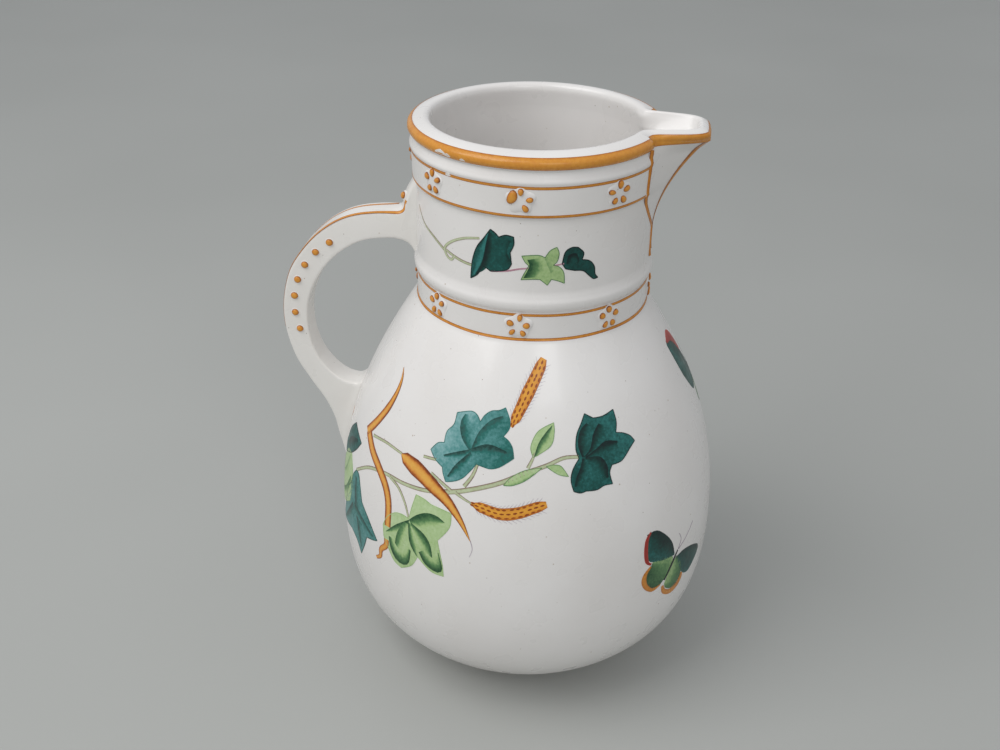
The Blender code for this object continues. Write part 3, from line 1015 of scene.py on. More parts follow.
def ring_line(film, height, start, end, width, seed):
    """A line round the neck, with the slight waver of a brush held against a turning pot."""
    dice = random.Random(seed)
    phases = [dice.uniform(0, math.tau) for _ in range(3)]
    points = []
    steps = int((end - start) / 2.5)
    for index in range(steps + 1):
        azimuth = start + (end - start) * index / steps
        wave = sum(math.sin(math.radians(azimuth) * k + p) for k, p in zip((2, 5, 9), phases)) / 3
        points.append((azimuth, height + 0.12 * wave))
    film.stroke(points, 3 * (width,), (0.8, 0.3, 0.25, 0.35, 0.85), cuts=1)


def build_ring_lines():
    film = Film("neck_enamel_lines", OCHRE, slot="ochre_beads")
    edge = SPOUT_ANGLE + 0.8
    for seed, height, start, width in ((1, 216.0, edge, 1.05), (2, 205.7, edge, 1.0),
                                       (3, 168.6, 0.0, 1.0), (4, 159.2, 0.0, 1.0)):
        ring_line(film, height, start, 360.0 - start, width, seed)
    film.finish()


def crease_point(side, height):
    """A point in the crease between spout and neck, and a normal that looks out of it."""
    angle = math.radians(max(CREASE_LEAST_ANGLE, spout_angle(height)))
    level = sum(radius_at(height + step) for step in (-3.0, -1.5, 0.0, 1.5, 3.0)) / 5
    radius = max(level, radius_at(height)) + CREASE_LIFT
    point = Vector((radius * math.cos(angle), side * radius * math.sin(angle), height))
    turn = angle + math.radians(CREASE_TURN)
    return point, Vector((math.cos(turn), side * math.sin(turn), 0.0))


def build_spout_lines(rows, rings):
    """A line in each crease beside the spout, and a broad one down its nose and keel."""
    film = Film("spout_enamel_lines", OCHRE, 2, "ochre_beads")
    heights = [222.2 - 0.75 * step for step in range(61)]
    for side in (-1.0, 1.0):
        crease = [crease_point(side, height) for height in heights]
        film.ribbon(crease, (1.5, 1.3, 1.1), (0.85, 0.4, 0.3, 0.4, 0.85))
    normals = normals_of(rings)
    nose = [index for index, (_, (kind, along), _) in enumerate(SPOUT_COLUMNS)
            if kind == "nose" or along > 0.9]
    lines = []
    for ring_points, ring_normals, (_, height, skin) in zip(rings, normals, rows):
        if skin < 1.0 or not 189.0 < height < 222.6:
            continue
        line = []
        for column in nose:
            normal = ring_normals[column]
            if normal.x < 0:
                normal = -normal
            depth = 0.8 if column in (nose[0], nose[-1]) else 0.3
            line.append((ring_points[column] + normal * 2.0 * ENAMEL_LIFT, normal, depth))
        lines.append(line)
    film.grid(lines)
    film.finish()


# ---------------------------------------------------------------- painted motifs

STEM_ACROSS = (0.95, 0.35, 0.1, 0.25, 0.7)


def build_belly_stems(turn):
    film = Film("belly_stems_" + side_of(turn), STEM)
    stems = [
        ([(-149, 94), (-141, 100.5), (-132, 103.5), (-124, 104), (-116, 105), (-108, 107.2)], (1, 1.1, 1.2)),
        ([(-110, 106.6), (-105, 108.3), (-99, 110.8), (-92, 113.9), (-85, 117.6), (-78, 120.3),
          (-72.5, 122.5), (-67.6, 122.4)], (1.4, 1.3, 0.9)),
        ([(-143, 112.5), (-135, 114), (-127, 113.8)], (0.9, 0.8, 0.7)),
        ([(-114.5, 112), (-111, 110.2), (-107, 108)], (0.8, 0.9, 1)),
        ([(-99.6, 119), (-100.8, 114.8), (-103, 110.6)], (0.8, 1, 1.2)),
        ([(-105.5, 107.8), (-102.5, 106.2), (-100.2, 105.2)], (1, 0.7, 0.5)),
        ([(-130, 103.5), (-125.5, 101.5), (-122, 97), (-120, 92)], (0.9, 0.8, 0.6)),
        ([(-118.4, 116.5), (-113.6, 117)], (0.8, 0.8, 0.8)),
        ([(-83.8, 119.4), (-82.5, 122.2), (-81.6, 124.4)], (1, 0.8, 0.5)),
    ]
    for points, widths in stems:
        film.stroke(shifted(points, turn), [1.3 * width for width in widths], STEM_ACROSS)
    film.finish()


def build_big_leaf(turn):
    leaf("big_teal_leaf_%d" % turn, TEAL, (-102.2, 123.2), [
        ((2.2, -4.2), [(4.4, -4.7), (6.9, -5), (9.7, -4)], (13.9, -0.8), [(13.3, 2.5), (11.9, 4.7)]),
        ((10, 6), [(11.8, 8.6), (11.7, 11.5)], (9.9, 15), [(7.7, 14), (5, 13.5), (2.8, 11.9)]),
        ((1.5, 9.6), [(0, 11.5), (-2.1, 12.3), (-5.1, 11.6)], (-7.5, 10.8), [(-7.7, 7), (-9.7, 4)]),
        ((-9.8, 0.2), [(-12.1, -0.6)], (-14.1, -3.5), [(-11.8, -6.1)]),
        ((-8.8, -8), [(-8.2, -10)], (-6.9, -12.6), [(-4.2, -11.6), (-1.8, -10), (0.2, -7.4)]),
    ], [
        ([(-0.2, -0.6), (-3.4, 2.5), (-5.1, 5.7), (-5.4, 8.8), (-4.4, 11)],
         [(0.6, 0.8), (0.3, 3.8), (-0.2, 6.4), (-1.2, 8.8), (-2.8, 11)], 0.82),
        ([(-0.2, 0.4), (1.4, 6), (4.2, 9.8), (6.6, 11.5), (9.2, 12.4)],
         [(1.2, -0.6), (4.8, 4.2), (7.3, 7), (8.8, 8.8), (9.8, 11)], 0.86),
        ([(-0.4, 0.4), (3.2, 2.4), (5.6, 2.9), (8.1, 2.5), (11.4, 1.3)],
         [(0.2, -1.6), (3.6, -1.4), (6.6, -1), (9.2, -0.4), (11.8, 0.4)], 1),
        ([(0.2, 0.6), (-3.8, -1.1), (-6.2, -2.2), (-9.2, -3.8)],
         [(0.2, -1.4), (-3.4, -3.6), (-5.8, -4.3), (-8.6, -4.6)], 0.95),
        ([(-0.2, -0.4), (-3.8, -4.8), (-5.4, -7.5), (-6.7, -10.6)],
         [(0.8, -2.2), (-0.8, -5.8), (-2.6, -8.6), (-5.4, -10.8)], 0.95),
    ], turn, 0.34, (0.024, -0.01), 0.6, 0.25)


def build_dark_leaf(turn):
    leaf("dark_teal_leaf_%d" % turn, DARK_TEAL, (-65.8, 122), [
        ((-1.7, -0.2), [(-2.5, 3), (-1.8, 7.5), (0.2, 11)], (1.8, 13.8), []),
        ((4.8, 12), [(8.5, 12)], (13, 13.2), [(13.3, 9.2)]),
        ((12.3, 5.8), [(15.2, 4.9), (17.5, 3.4)], (18.9, 1.3), [(16.5, -0.6), (14.1, -2.8), (12.2, -4)]),
        ((9.1, -4.3), [(8, -6.8)], (8.5, -10.8), [(5.8, -10.7), (3.2, -11.7)]),
        ((-0.1, -11.5), [(-2, -11.9)], (-4, -11.1), [(-4.7, -7.2), (-3.9, -3.6)]),
    ], [
        ([(-0.6, 0), (-1.7, 4.2), (-0.6, 8.6), (2, 10.8)], [(0.4, 0.2), (1.2, 4), (2.4, 7.4), (3.2, 10)], 1),
        ([(-0.2, 0), (2.4, 2.6), (3.9, 6.9), (6.4, 10)], [(1.2, 0.4), (5.2, 2.6), (7.6, 5.8), (8.4, 9)], 1),
        ([(0.4, 0), (4.5, 2.2), (8, 4), (12.4, 3)], [(1.4, -0.6), (5.2, -0.2), (8.8, 0.4), (11.8, 1.4)], 1),
        ([(0.4, -0.2), (5.1, -0.6), (7.4, -3.8), (7.4, -8.3)],
         [(0.4, -1.2), (2.8, -3.2), (4.4, -5.6), (5.8, -8.3)], 0.95),
        ([(-0.6, -0.2), (-1.6, -3.5), (-3.1, -6.7), (-3.6, -9.6)],
         [(0.6, -1), (0.6, -4), (-0.6, -7), (-2.6, -9.6)], 0.95),
    ], turn, 0.3, (-0.006, -0.004), 0.85, 0.3)


def build_light_leaf(turn):
    leaf("light_green_leaf_%d" % turn, GREEN, (-119.4, 90.4), [
        ((-0.5, 1.6), [(0.1, 6.6)], (1, 11.8), [(3.8, 11.5)]),
        ((6.6, 10.4), [(10, 10)], (13.4, 9.4), [(13.2, 3.8)]),
        ((9.8, -2.5), [(10.9, -7.7), (11.8, -12.4)], (12.2, -16.8), [(8.1, -16.4)]),
        ((3.5, -12.4), [(1.4, -17.4)], (-2.4, -20.8), [(-5.4, -19.4), (-7.8, -15.4)]),
        ((-10, -11.4), [], (-10.6, -6.8), [(-9.2, -2.7), (-6.3, 0.8), (-3.3, 1.9)]),
    ], [
        ([(-0.4, 1.2), (2.1, 4.4), (5.5, 6.7), (8.9, 6.9), (11.6, 5.4)],
         [(0.8, -0.8), (3.8, -1), (6.7, 0.6), (9.4, 2.6), (11.5, 5)], 1),
        ([(-0.4, 1.2), (-5, -3.2), (-9.2, -8.8)], [(-0.1, -3.5), (-3.6, -6.5), (-9, -9.1)], 1),
        ([(-2.2, -0.4), (-4.6, -6.9), (-5.2, -13.6)], [(0.2, -1), (-1.2, -7.4), (-3.2, -13.4)], 0.78),
        ([(-7.8, -10), (-6.9, -14.6), (-4.5, -18.4), (-1.3, -18.9), (0.5, -16.6), (1, -11.2)],
         [(-6, -10), (-4.6, -12), (-3.4, -13), (-2, -13), (-0.8, -12), (0, -10.4)], 1),
        ([(-0.6, 0), (0.2, -6.7), (1.5, -9.9), (3.4, -12.5)],
         [(1.1, 0), (2.4, -5.5), (3.4, -8.4), (3.6, -12.3)], 0.95),
        ([(0.4, 0.5), (5.1, -1.8), (7.7, -5.7), (8.7, -12.2)],
         [(0.5, -1.5), (3.1, -5.8), (5.9, -9), (8.5, -12.2)], 0.95),
        ([(3.9, -10.1), (6.2, -14.2), (10.1, -16), (11.8, -13.8), (10.4, -7.5)],
         [(5.6, -8.4), (7.8, -10), (9, -10.4), (10, -9.8), (10, -7.4)], 1),
    ], turn, 0.14, (0.004, -0.004), 0.3, 0.25)


def build_bud(turn):
    film = Film("bud_%d" % turn, TWIG, 2)
    core = [(-127, 113.6), (-124, 112.6), (-118.4, 110.6), (-112.4, 107.2), (-107.2, 103.4),
            (-102.8, 97.6), (-99.6, 91)]
    width = [(0, 0.8), (0.05, 4.4), (0.18, 6.2), (0.4, 5.4), (0.6, 3.9), (0.85, 1.7), (1, 0.2)]
    film.band(even_course(core, turn, 40), width, (1, 0.9, 0.5, 0.15, 0, 0, 0.15, 0.45, 0.8, 1))
    film.finish()
    hair = Film("bud_hair_%d" % turn, HAIR)
    hair.stroke(shifted([(-99.6, 91.2), (-98.9, 88), (-99.6, 84.6)], turn), (0.3, 0.2, 0.12), (0.6, 0.6))
    hair.finish()


def even_course(points, turn, steps):
    """A smooth course through painted points, in even steps."""
    return resample(smooth(shifted(points, turn), 6), steps)


def build_twig(turn):
    """A thick ochre twig: a horn above, a limb below it, and the tail that shows under a leaf."""
    film = Film("horned_twig_%d" % turn, TWIG, 1)
    across = (1, 0.8, 0.35, 0.1, 0.08, 0.3, 0.7, 0.95)
    horn = [(-141, 139.5), (-139, 136), (-138.6, 131), (-140.2, 124.5), (-143.6, 117.6), (-147.6, 111.5)]
    film.band(even_course(horn, turn, 30), [(0, 0.2), (0.15, 1.4), (0.5, 3.2), (1, 3.8)], across)
    limb = [(-146.6, 112.4), (-141.4, 107.6), (-135.6, 103.6), (-131, 99), (-128.6, 93), (-128, 84)]
    film.band(even_course(limb, turn, 30), [(0, 3.8), (0.5, 3.8), (1, 3.4)], across)
    film.finish()
    film = Film("twig_tail_%d" % turn, TWIG)
    tail = [(-128.2, 78.2), (-128.4, 75.2), (-130.6, 72), (-131, 68.6), (-133, 66.6)]
    film.band(even_course(tail, turn, 20), [(0, 2.8), (0.6, 2.2), (1, 1.4)], (0.9, 0.4, 0.15, 0.3, 0.8))
    film.finish()


def build_catkin(name, spine, turn, seed):
    """A catkin with three lanes of dark scales, and fine hairs along both sides."""
    dice = random.Random(seed)
    steps = 36
    course = even_course(spine, turn, steps)
    width = [(0, 0.5), (0.12, 0.8 * CATKIN_WIDTH), (0.5, CATKIN_WIDTH), (0.9, 0.85 * CATKIN_WIDTH),
             (1, 0.5 * CATKIN_WIDTH)]
    film = Film(name, CATKIN)
    film.band(course, width, (0.7, 0.25, 0.1, 0.05, 0.15, 0.3, 0.75))
    count = 11
    for step in range(count):
        for lane in (-0.34, 0.0, 0.34):
            centre = (step + 0.5 + (0.5 if lane == 0.0 else 0.0) + dice.uniform(-0.1, 0.1)) / (count + 0.5)
            index = max(1, min(steps - 1, int(centre * steps)))
            span = course[index - 1:index + 2]
            distance = lane * look_up(width, index / steps)
            scale = [beside_at(span, place, distance) for place in range(len(span))]
            film.stroke(scale, (0.3, dice.uniform(0.65, 0.85), 0.25), (0.7, 0.9, 0.7), STEP_LIFT, 2)
    film.finish()
    hairs = Film(name + "_hairs", HAIR)
    for step in range(3, steps - 2, 2):
        for side in (-1.0, 1.0):
            reach = 0.5 * look_up(width, step / steps)
            root = beside_at(course[step:step + 2], 0, side * reach)
            tip = beside_at(course[step + 2:step + 4], 0, side * (reach + dice.uniform(0.9, 1.5)))
            hairs.stroke([root, tip], (0.14, 0.1, 0.05), (0.4, 0.4), cuts=1)
    hairs.finish()


def build_small_leaves(turn):
    leaf("bract_leaf_%d" % turn, GREEN, (-80.6, 125.4), [
        ((-1.6, -2.4), [(-2.4, 1.2), (0, 6)], (5.3, 8.6), [(5.4, 5.5), (4, 1.2)]),
    ], [
        ([(-1.4, -2.3), (0.2, 2.4), (2.7, 5.8), (4.8, 7.8)], [(0, -1.8), (2.2, 0.8), (4, 3.2), (4.7, 6.8)],
         0.98),
    ], turn, 0.22, rim=0.5, rim_width=0.22)
    leaf("sheath_leaf_%d" % turn, GREEN, (-86, 116.4), [
        ((-5, -3.2), [(-2.7, -0.2), (1.5, 2.3)], (6.6, 3.2), [(4, 0.8), (0.9, -1.6), (-2.5, -3.1)]),
    ], [
        ([(-4.8, -3.4), (-2.3, -3.2), (1, -1.6), (4.2, 1.2)],
         [(-4, -2.8), (-1.8, -1.8), (1.1, -0.2), (4.1, 1.5)], 0.5),
    ], turn, 0.2, rim=0.6, rim_width=0.22)
    leaf("tip_leaf_%d" % turn, GREEN, (-75, 118.6), [
        ((-3.1, 1.4), [(-0.9, 1.8), (1.6, 1.2)], (3.8, -2.4), [(0.6, -1.4)]),
    ], [], turn, 0.26, rim=0.55, rim_width=0.22)


def build_left_cluster(turn):
    leaf("edge_leaf_upper_%d" % turn, DARK_TEAL, (-160, 99.5), [
        ((-7, -4.5), [(-4, 2.5)], (1, 8), [(6, 6.9)]),
        ((10.6, 5.5), [], (8.2, 1.5), [(3.4, -3.5)]),
        ((-6, -9.5), [], (-10, -7.5), []),
    ], [
        ([(-4, -3.5), (0, 1.5), (7, 4.9)], [(-2, -5.5), (3, -2.1), (7.4, 2.1)], 0.9),
    ], turn, 0.3, rim=0.9)
    leaf("curled_green_leaf_%d" % turn, GREEN, (-158.6, 86), [
        ((-7.4, 2), [(-2.4, 8.6)], (3, 10), [(6.6, 5)]),
        ((8, -2), [], (6.6, -8.4), [(0.6, -13.4)]),
        ((-6.4, -16), [], (-10, -8), []),
    ], [
        ([(-6.4, -12), (0.6, -6), (5.6, 2.4)], [(-6.4, -14.4), (2, -10.4), (7, -2.6)], 0.75),
        ([(1.2, 8.6), (-1.4, 2), (-6.4, -4)], [(2.8, 7), (1, 0.8), (-4.4, -5.4)], 0.5),
    ], turn, 0.16, rim=0.4, rim_width=0.25)
    leaf("edge_leaf_lower_%d" % turn, TEAL, (-147.6, 78.6), [
        ((-4.4, 7.4), [(-3.4, 12)], (-1.2, 15.4), [(1.6, 14.4)]),
        ((5.4, 6), [(10.2, 1.8)], (15, -4.2), [(13, -5.4)]),
        ((9.2, -7), [(7.8, -11.8)], (5, -18.2), [(2.2, -14)]),
        ((-2.4, -12.2), [], (-14.4, -16.6), [(-11, -8)]),
        ((-8.4, -1.6), [], (-7, 4), []),
    ], [
        ([(-1, 13), (0.2, 3.4), (3.6, -8.6), (5.2, -15.2)],
         [(1, 12.4), (3.6, 3.4), (6.4, -6.6), (5.8, -14.2)], 0.95),
        ([(-0.4, 2), (6.2, -0.2), (13, -3.8)], [(0.6, -2), (6.6, -3.6), (12, -4.8)], 0.9),
        ([(-1.4, 1), (-6.4, -6.8), (-12.4, -15)], [(0.2, -2.6), (-3.2, -9.2), (-9.8, -14)], 0.9),
    ], turn, 0.42, (0.004, 0.004), 0.85)


def side_of(turn):
    return "front" if turn == 0 else "back"


def build_neck_spray(turn):
    tag = side_of(turn)
    turn += NECK_TURN
    film = Film("neck_stems_" + tag, STEM)
    film.stroke(shifted([(-155, 197), (-147, 192.4), (-137, 189.8), (-128.6, 187)], turn),
                (0.3, 0.9, 1.1), STEM_ACROSS)
    film.stroke(shifted([(-127.4, 187.2), (-122, 186), (-116.4, 185.1), (-109, 184.6)], turn),
                (1, 1.1, 1), STEM_ACROSS)
    loop = [(-108, 195.4), (-116, 194), (-123.6, 191.2), (-128.2, 187.9), (-126.9, 185.3),
            (-123.9, 184.4), (-121.8, 186.2)]
    film.stroke(shifted(loop, turn), (0.8, 1.1, 0.9), (0.8, 0.2, 0, 0.1, 0.6), STEP_LIFT)
    film.finish()
    rose = Film("neck_rose_stem_" + tag, PINK)
    rose.stroke(shifted([(-102, 184), (-95, 184.8), (-89, 186), (-84, 186.5)], turn),
                (0.5, 0.6, 0.5), (0.7, 0.4, 0.7))
    rose.stroke(shifted([(-73.6, 187.4), (-68.6, 188)], turn), (0.5, 0.5, 0.5), (0.7, 0.4, 0.7))
    rose.finish()
    leaf("neck_leaf_folded_" + tag, DARK_TEAL, (-100, 191), [
        ((-6.4, -5.4), [(-8.6, -9)], (-12.4, -11.2), [(-11.6, -4.6), (-9.4, 0.8)]),
        ((-6, 4.6), [], (-2.6, 8.4), [(-0.4, 7.4)]),
        ((1.4, 6), [(4.6, 7)], (8.2, 6.6), [(8.4, 3.8)]),
        ((6.8, 0.8), [], (7.5, -3.4), [(5.6, -5.6), (1, -6.6)]),
        ((-2.4, -7), [], (-4, -6.2), []),
    ], [
        ([(-3.2, 7.6), (-4.6, 2.7), (-6.4, -4), (-9.8, -9.4)],
         [(-1.2, 6.6), (-0.6, 1.6), (-2.2, -4), (-6, -7.4)], 1),
        ([(-3.4, 7.6), (-4.8, 2.7), (-6.6, -3.8), (-10.4, -9.6)],
         [(-5.6, 4.4), (-8.4, 0.6), (-10.6, -4.4), (-11.9, -10.2)], -0.1),
        ([(7.4, -2.6), (5.4, 1), (7, 5)], [(5.4, -4), (3.4, 1), (5, 5.4)], 0.7),
    ], turn, 0.4, rim=0.95, rim_width=0.35)
    leaf("neck_leaf_green_" + tag, GREEN, (-76.4, 187.2), [
        ((-1, 3.3), [(1.2, 5.8)], (4.2, 7), [(5.3, 4.7), (4.6, 1.9)]),
        ((2.8, 0.4), [(5.6, -0.3), (7.8, -2.6)], (8.3, -6.6), [(5.5, -5.6)]),
        ((2.2, -4.8), [], (0.4, -7), [(-1.4, -5.8)]),
        ((-3, -4.8), [(-6.8, -4.8)], (-11.6, -5.1), [(-10, -2.4)]),
        ((-8.2, 0.2), [(-10, 1.6)], (-11.5, 3.7), [(-7, 4.1), (-3.4, 4.1)]),
    ], [
        ([(-10.6, -4.5), (-8, 0), (-9, 2.4)], [(-3.4, -3.8), (-0.6, 0), (-3.4, 3.2)], 1),
        ([(-1.2, 3), (0.2, 0.4), (1.8, -2.4)], [(2, 4.4), (2.6, 1.8), (3.8, -1.2)], 0.5),
    ], turn, 0.3, rim=0.7, rim_width=0.25)
    leaf("neck_leaf_curled_" + tag, DARK_TEAL, (-63.6, 188.4), [
        ((-5.9, -0.4), [(-4.6, 3.8), (-1.6, 5.3)], (1.4, 5.1), [(4.2, 2.9)]),
        ((3.5, 0.4), [(7.4, -0.5), (10, -2.9), (10.6, -5.8)], (12.2, -7.4),
         [(10, -7.6), (7.6, -6.1), (4.4, -3.9)]),
        ((0.1, -3.3), [], (-4.2, -2.4), []),
    ], [
        ([(-4, -0.4), (-3, 2.6), (0.6, 3), (2.2, 0)], [(-2.2, -1), (-1.2, 0.2), (0.2, 0.2), (1, -1.2)], 1),
    ], turn, 0.5, rim=1, rim_width=0.35)


def paint_wings(insect, turn, place, wings):
    """Each wing is (name, material, layer, first edge, second edge, depths of colour between them),
    with points in degrees and mm from the insect's place."""
    place = (place[0] + turn, place[1])
    for name, material, layer, first, second, depths in wings:
        first = resample(smooth(shifted(first, *place), 6), 16)
        second = resample(smooth(shifted(second, *place), 6), 16)
        film = Film("%s_%s_%d" % (insect, name, turn), material, layer)
        rows = []
        for row, depth in enumerate(depths):
            share = row / (len(depths) - 1)
            rows.append([(*lerp(a, b, share), depth) for a, b in zip(first, second)])
        film.sheet(rows)
        film.finish()


def build_butterfly(turn):
    paint_wings("butterfly", turn, (-36, 68), [
        ("wing_upper_left", DARK_TEAL, 0, [(-10.6, 19.4), (-7, 19.6), (-3.4, 16), (-0.2, 10.6), (1.2, 4.6)],
         [(-10.2, 17.6), (-10.6, 12), (-9.8, 7.6), (-4.6, 5), (1.1, 3.8)], (0.9, 0.8, 0.55, 0.35, 0.3)),
        ("red_edge", RED, 1, [(-9.2, 20.2), (-11.2, 17.6), (-11.8, 12.4), (-11.2, 7.6), (-9.2, 5.4)],
         [(-9, 19.4), (-10.1, 17.2), (-10.4, 12.2), (-10, 7.8), (-8.8, 6.2)], (0.4, 0.8, 0.8, 0.7, 0.4)),
        ("wing_lower_left", GREEN, 0,
         [(-8.9, 5), (-10.4, 1.8), (-10.2, -2.4), (-8, -5.8), (-4.6, -6.2), (-2.6, -4.4)],
         [(-8.4, 6.4), (-5, 5.6), (-2.4, 4.8), (0.4, 3.8), (0, 0), (-2.2, -3.8)],
         (0.95, 0.9, 0.75, 0.55, 0.4)),
        ("border_left", OCHRE, 1,
         [(-9.2, 5.2), (-11.8, 2.4), (-12.2, -1.4), (-10.6, -5.2), (-7.6, -7.8), (-4.6, -6.8)],
         [(-8.8, 4.6), (-10.4, 1.8), (-10.2, -2.2), (-8.2, -5.6), (-6.4, -6.4), (-4.2, -6.1)],
         (0.5, 0.4, 0.3, 0.4, 0.6)),
        ("wing_lower_right", GREEN, 0,
         [(2.4, 2.6), (5, -2.6), (5.6, -8), (4.2, -11.2), (1, -12.2), (-2, -9.6)],
         [(1.4, 1.2), (0.2, -0.8), (-0.8, -2.8), (-1.6, -4.6), (-2.2, -6), (-2.6, -7.4)],
         (0.85, 0.75, 0.6, 0.45, 0.35)),
        ("border_right", OCHRE, 1,
         [(6.8, -8.6), (6.8, -11.4), (4.8, -14.4), (1, -15), (-2.8, -12), (-3.8, -8)],
         [(5.8, -8), (5, -10.6), (3.4, -12), (0.8, -12.4), (-1.8, -10.4), (-2.8, -7.8)],
         (0.5, 0.4, 0.3, 0.4, 0.6)),
        ("wing_upper_right", DARK_TEAL, 0,
         [(2.8, 2.2), (6.3, 2.6), (11.5, 0.7), (16.4, -2.8), (17.4, -5.6)],
         [(2, 2.2), (4, -2.6), (6.4, -8.4), (11, -11.4), (16.6, -7.4)], (0.85, 0.6, 0.5, 0.4, 0.3)),
    ])
    film = Film("butterfly_body_%d" % turn, BLACK, 3)
    film.stroke(shifted([(-33.2, 73), (-36, 68.1), (-38.8, 62.6)], turn), (0.5, 1.2, 0.7), (1, 0.6, 1))
    film.finish()
    feelers = Film("butterfly_feelers_%d" % turn, HAIR)
    for points in ([(-33, 73.2), (-31.6, 76.8), (-32.6, 80)], [(-32.8, 73), (-28.6, 76), (-24.6, 80)]):
        feelers.stroke(shifted(points, turn), (0.3, 0.2, 0.2), (0.9, 0.9))
    feelers.finish()


def build_moth(turn):
    """The insect under the spout, in the same build as the butterfly."""
    paint_wings("moth", turn, (12, 123), [
        ("wing", DARK_TEAL, 0, [(-20.4, 21.4), (-14, 20), (-9, 15), (-5, 8), (-1, 1)],
         [(-21.4, 20), (-20, 11.6), (-17.6, 5), (-11.4, -2.6), (-2, -0.6)], (0.7, 0.5, 0.3, 0.45)),
        ("red_edge", RED, 1, [(-20.6, 21.2), (-14, 23.2), (-9, 19.6), (-6.4, 12.8)],
         [(-20.2, 20.4), (-15, 19.4), (-11.4, 16.4), (-7.8, 11.6)], (0.3, 0.7, 0.8)),
        ("wing_far", DARK_TEAL, 0, [(0, 1.4), (2.4, 8), (7.6, 13), (14, 14.6)],
         [(0.4, 0.2), (5.6, -0.4), (11, 4), (14.4, 13.6)], (0.45, 0.3, 0.5, 0.7)),
        ("lower_wing", GREEN, 0, [(-1.6, 0.4), (-7.4, -5.4), (-6, -11.4), (-0.6, -11.2)],
         [(-0.4, 1), (0.4, -2), (0.6, -6), (0, -10.6)], (0.8, 0.6, 0.4)),
        ("lower_wing_far", GREEN, 0, [(-0.4, 1), (0.4, -2), (0.6, -6), (0, -10.6)],
         [(1, 0.4), (7, -2.6), (8.4, -9), (1.4, -10.8)], (0.4, 0.6, 0.8)),
    ])
    film = Film("moth_body_%d" % turn, BLACK, 3)
    film.stroke(shifted([(11.4, 126), (12.2, 120.6), (12.4, 114.6)], turn), (0.5, 1.3, 0.7), (1, 0.6, 1))
    film.finish()


def build_marks():
    """Chips in the rim's enamel and a stray touch of ochre beside the handle."""
    film = Film("rim_chips", CHIP, 2)
    for azimuth, height, length, width in ((-128, 223.4, 5.2, 2), (-124, 223, 2.8, 1.4),
                                           (-116, 222.8, 2.2, 1), (-124.5, 216, 2.4, 1.3)):
        reach = math.degrees(0.5 * length / radius_at(height))
        film.stroke([(azimuth - reach, height), (azimuth, height + 0.2), (azimuth + reach, height)],
                    (0.3, width, 0.3), (0.3, 0.1, 0.3))
    film.finish()
    touch = Film("stray_ochre_touch", OCHRE, slot="ochre_beads")
    touch.stroke([(-173.4, 105), (-172.6, 103), (-173, 101)], (0.4, 1.4, 0.4), (0.6, 0.3, 0.6))
    touch.finish()


def build_sprays():
    """The spray seen from the front, and the same again at the back."""
    upper = [(-89.8, 132.4), (-87.6, 137), (-84, 144), (-78.2, 153.6)]
    lower = [(-100.4, 105.2), (-96.7, 104.2), (-91.5, 102.9), (-86.5, 103.7), (-81.5, 105.8), (-78, 107)]
    for turn in (0, 180):
        for build in (build_left_cluster, build_twig, build_belly_stems, build_big_leaf, build_dark_leaf,
                      build_light_leaf, build_bud, build_small_leaves):
            build(turn)
        build_catkin("upper_catkin_%d" % turn, upper, turn, 11)
        build_catkin("lower_catkin_%d" % turn, lower, turn, 12)
        build_neck_spray(turn)
        build_butterfly(turn)
    build_moth(0)
    build_marks()


# ---------------------------------------------------------------- stage, light and camera

def build_floor():
    mesh = bpy.data.meshes.new("floor")
    builder = bmesh.new()
    bmesh.ops.create_grid(builder, x_segments=1, y_segments=1, size=FLOOR_HALF)
    builder.to_mesh(mesh)
    builder.free()
    floor = bpy.data.objects.new("floor", mesh)
    bpy.context.scene.collection.objects.link(floor)
    shade = Shade("pale_floor", 0.6)
    tone = shade.ramp(shade.noise(3.0, 2.0), [(0.3, 169, 170, 166), (0.7, 175, 176, 172)])
    shade.fill(shade.shader, {"Base Color": tone})
    mesh.materials.append(shade.material)


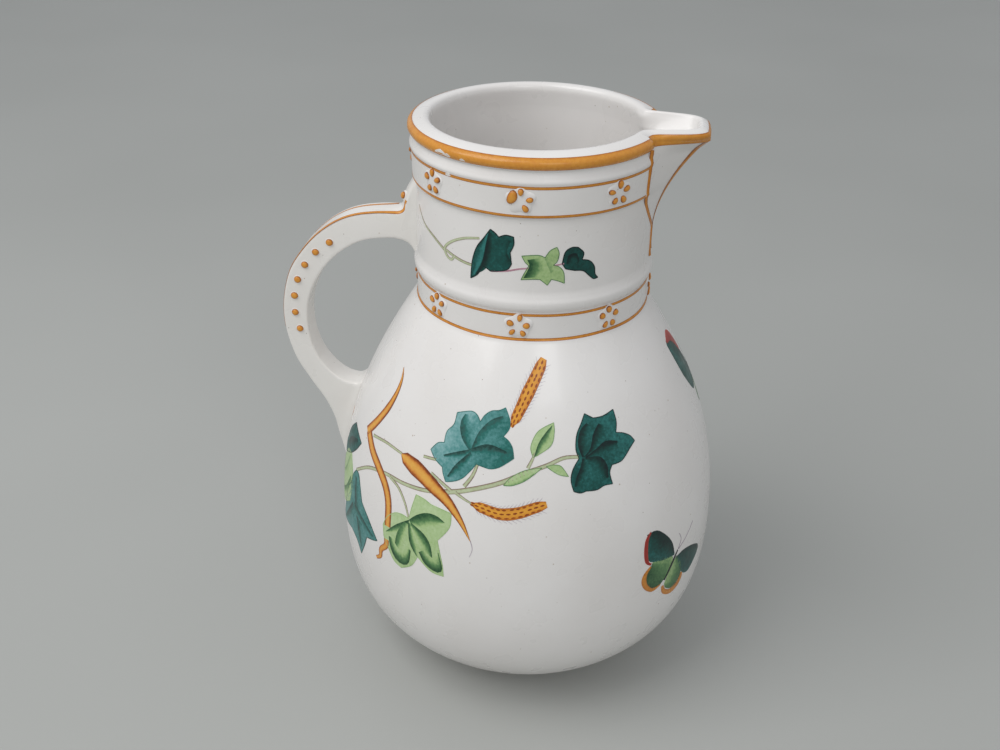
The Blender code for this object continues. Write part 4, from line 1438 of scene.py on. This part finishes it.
def add_softbox(name, location, size, energy):
    """A square lamp that shines on the middle of the belly."""
    lamp = bpy.data.lights.new(name, "AREA")
    lamp.shape = "RECTANGLE"
    lamp.size = size
    lamp.size_y = size
    lamp.energy = energy
    item = bpy.data.objects.new(name, lamp)
    bpy.context.scene.collection.objects.link(item)
    item.location = location
    direction = Vector((0.0, 0.0, 0.1)) - Vector(location)
    item.rotation_euler = direction.to_track_quat("-Z", "Y").to_euler()


def build_light():
    world = bpy.data.worlds.new("studio")
    world.use_nodes = True
    backdrop = world.node_tree.nodes["Background"]
    backdrop.inputs["Color"].default_value = srgb(225, 228, 232)
    backdrop.inputs["Strength"].default_value = 0.7
    bpy.context.scene.world = world
    bpy.context.scene.view_settings.view_transform = "Standard"
    add_softbox("key_softbox", (-0.65, -0.55, 1.2), 1.0, 10.0)
    add_softbox("front_softbox", (0.35, -0.9, 0.8), 0.35, 1.3)


def build_camera():
    """The viewpoint: in front of the pitcher's side, a little to its right, looking down."""
    turn = math.radians(CAMERA_TURN)
    pitch = math.radians(CAMERA_PITCH)
    roll = math.radians(CAMERA_ROLL)
    look = Vector((-math.sin(turn) * math.cos(pitch), math.cos(turn) * math.cos(pitch), -math.sin(pitch)))
    right = Vector((math.cos(turn), math.sin(turn), 0.0))
    up = right.cross(look)
    x_axis = right * math.cos(roll) - up * math.sin(roll)
    y_axis = right * math.sin(roll) + up * math.cos(roll)
    lens = bpy.data.cameras.new("view")
    lens.sensor_width = 36.0
    lens.lens = 45.0
    lens.clip_start = 0.01
    camera = bpy.data.objects.new("view", lens)
    bpy.context.scene.collection.objects.link(camera)
    matrix = Matrix((x_axis, y_axis, -look)).transposed().to_4x4()
    matrix.translation = CAMERA_PLACE
    camera.matrix_world = matrix
    bpy.context.scene.camera = camera


def main():
    rows, rings = build_body_and_spout()
    build_handle()
    build_handle_lines()
    build_relief()
    build_rim_enamel(rows, rings)
    build_ring_lines()
    build_spout_lines(rows, rings)
    build_sprays()
    build_floor()
    build_light()
    build_camera()


main()
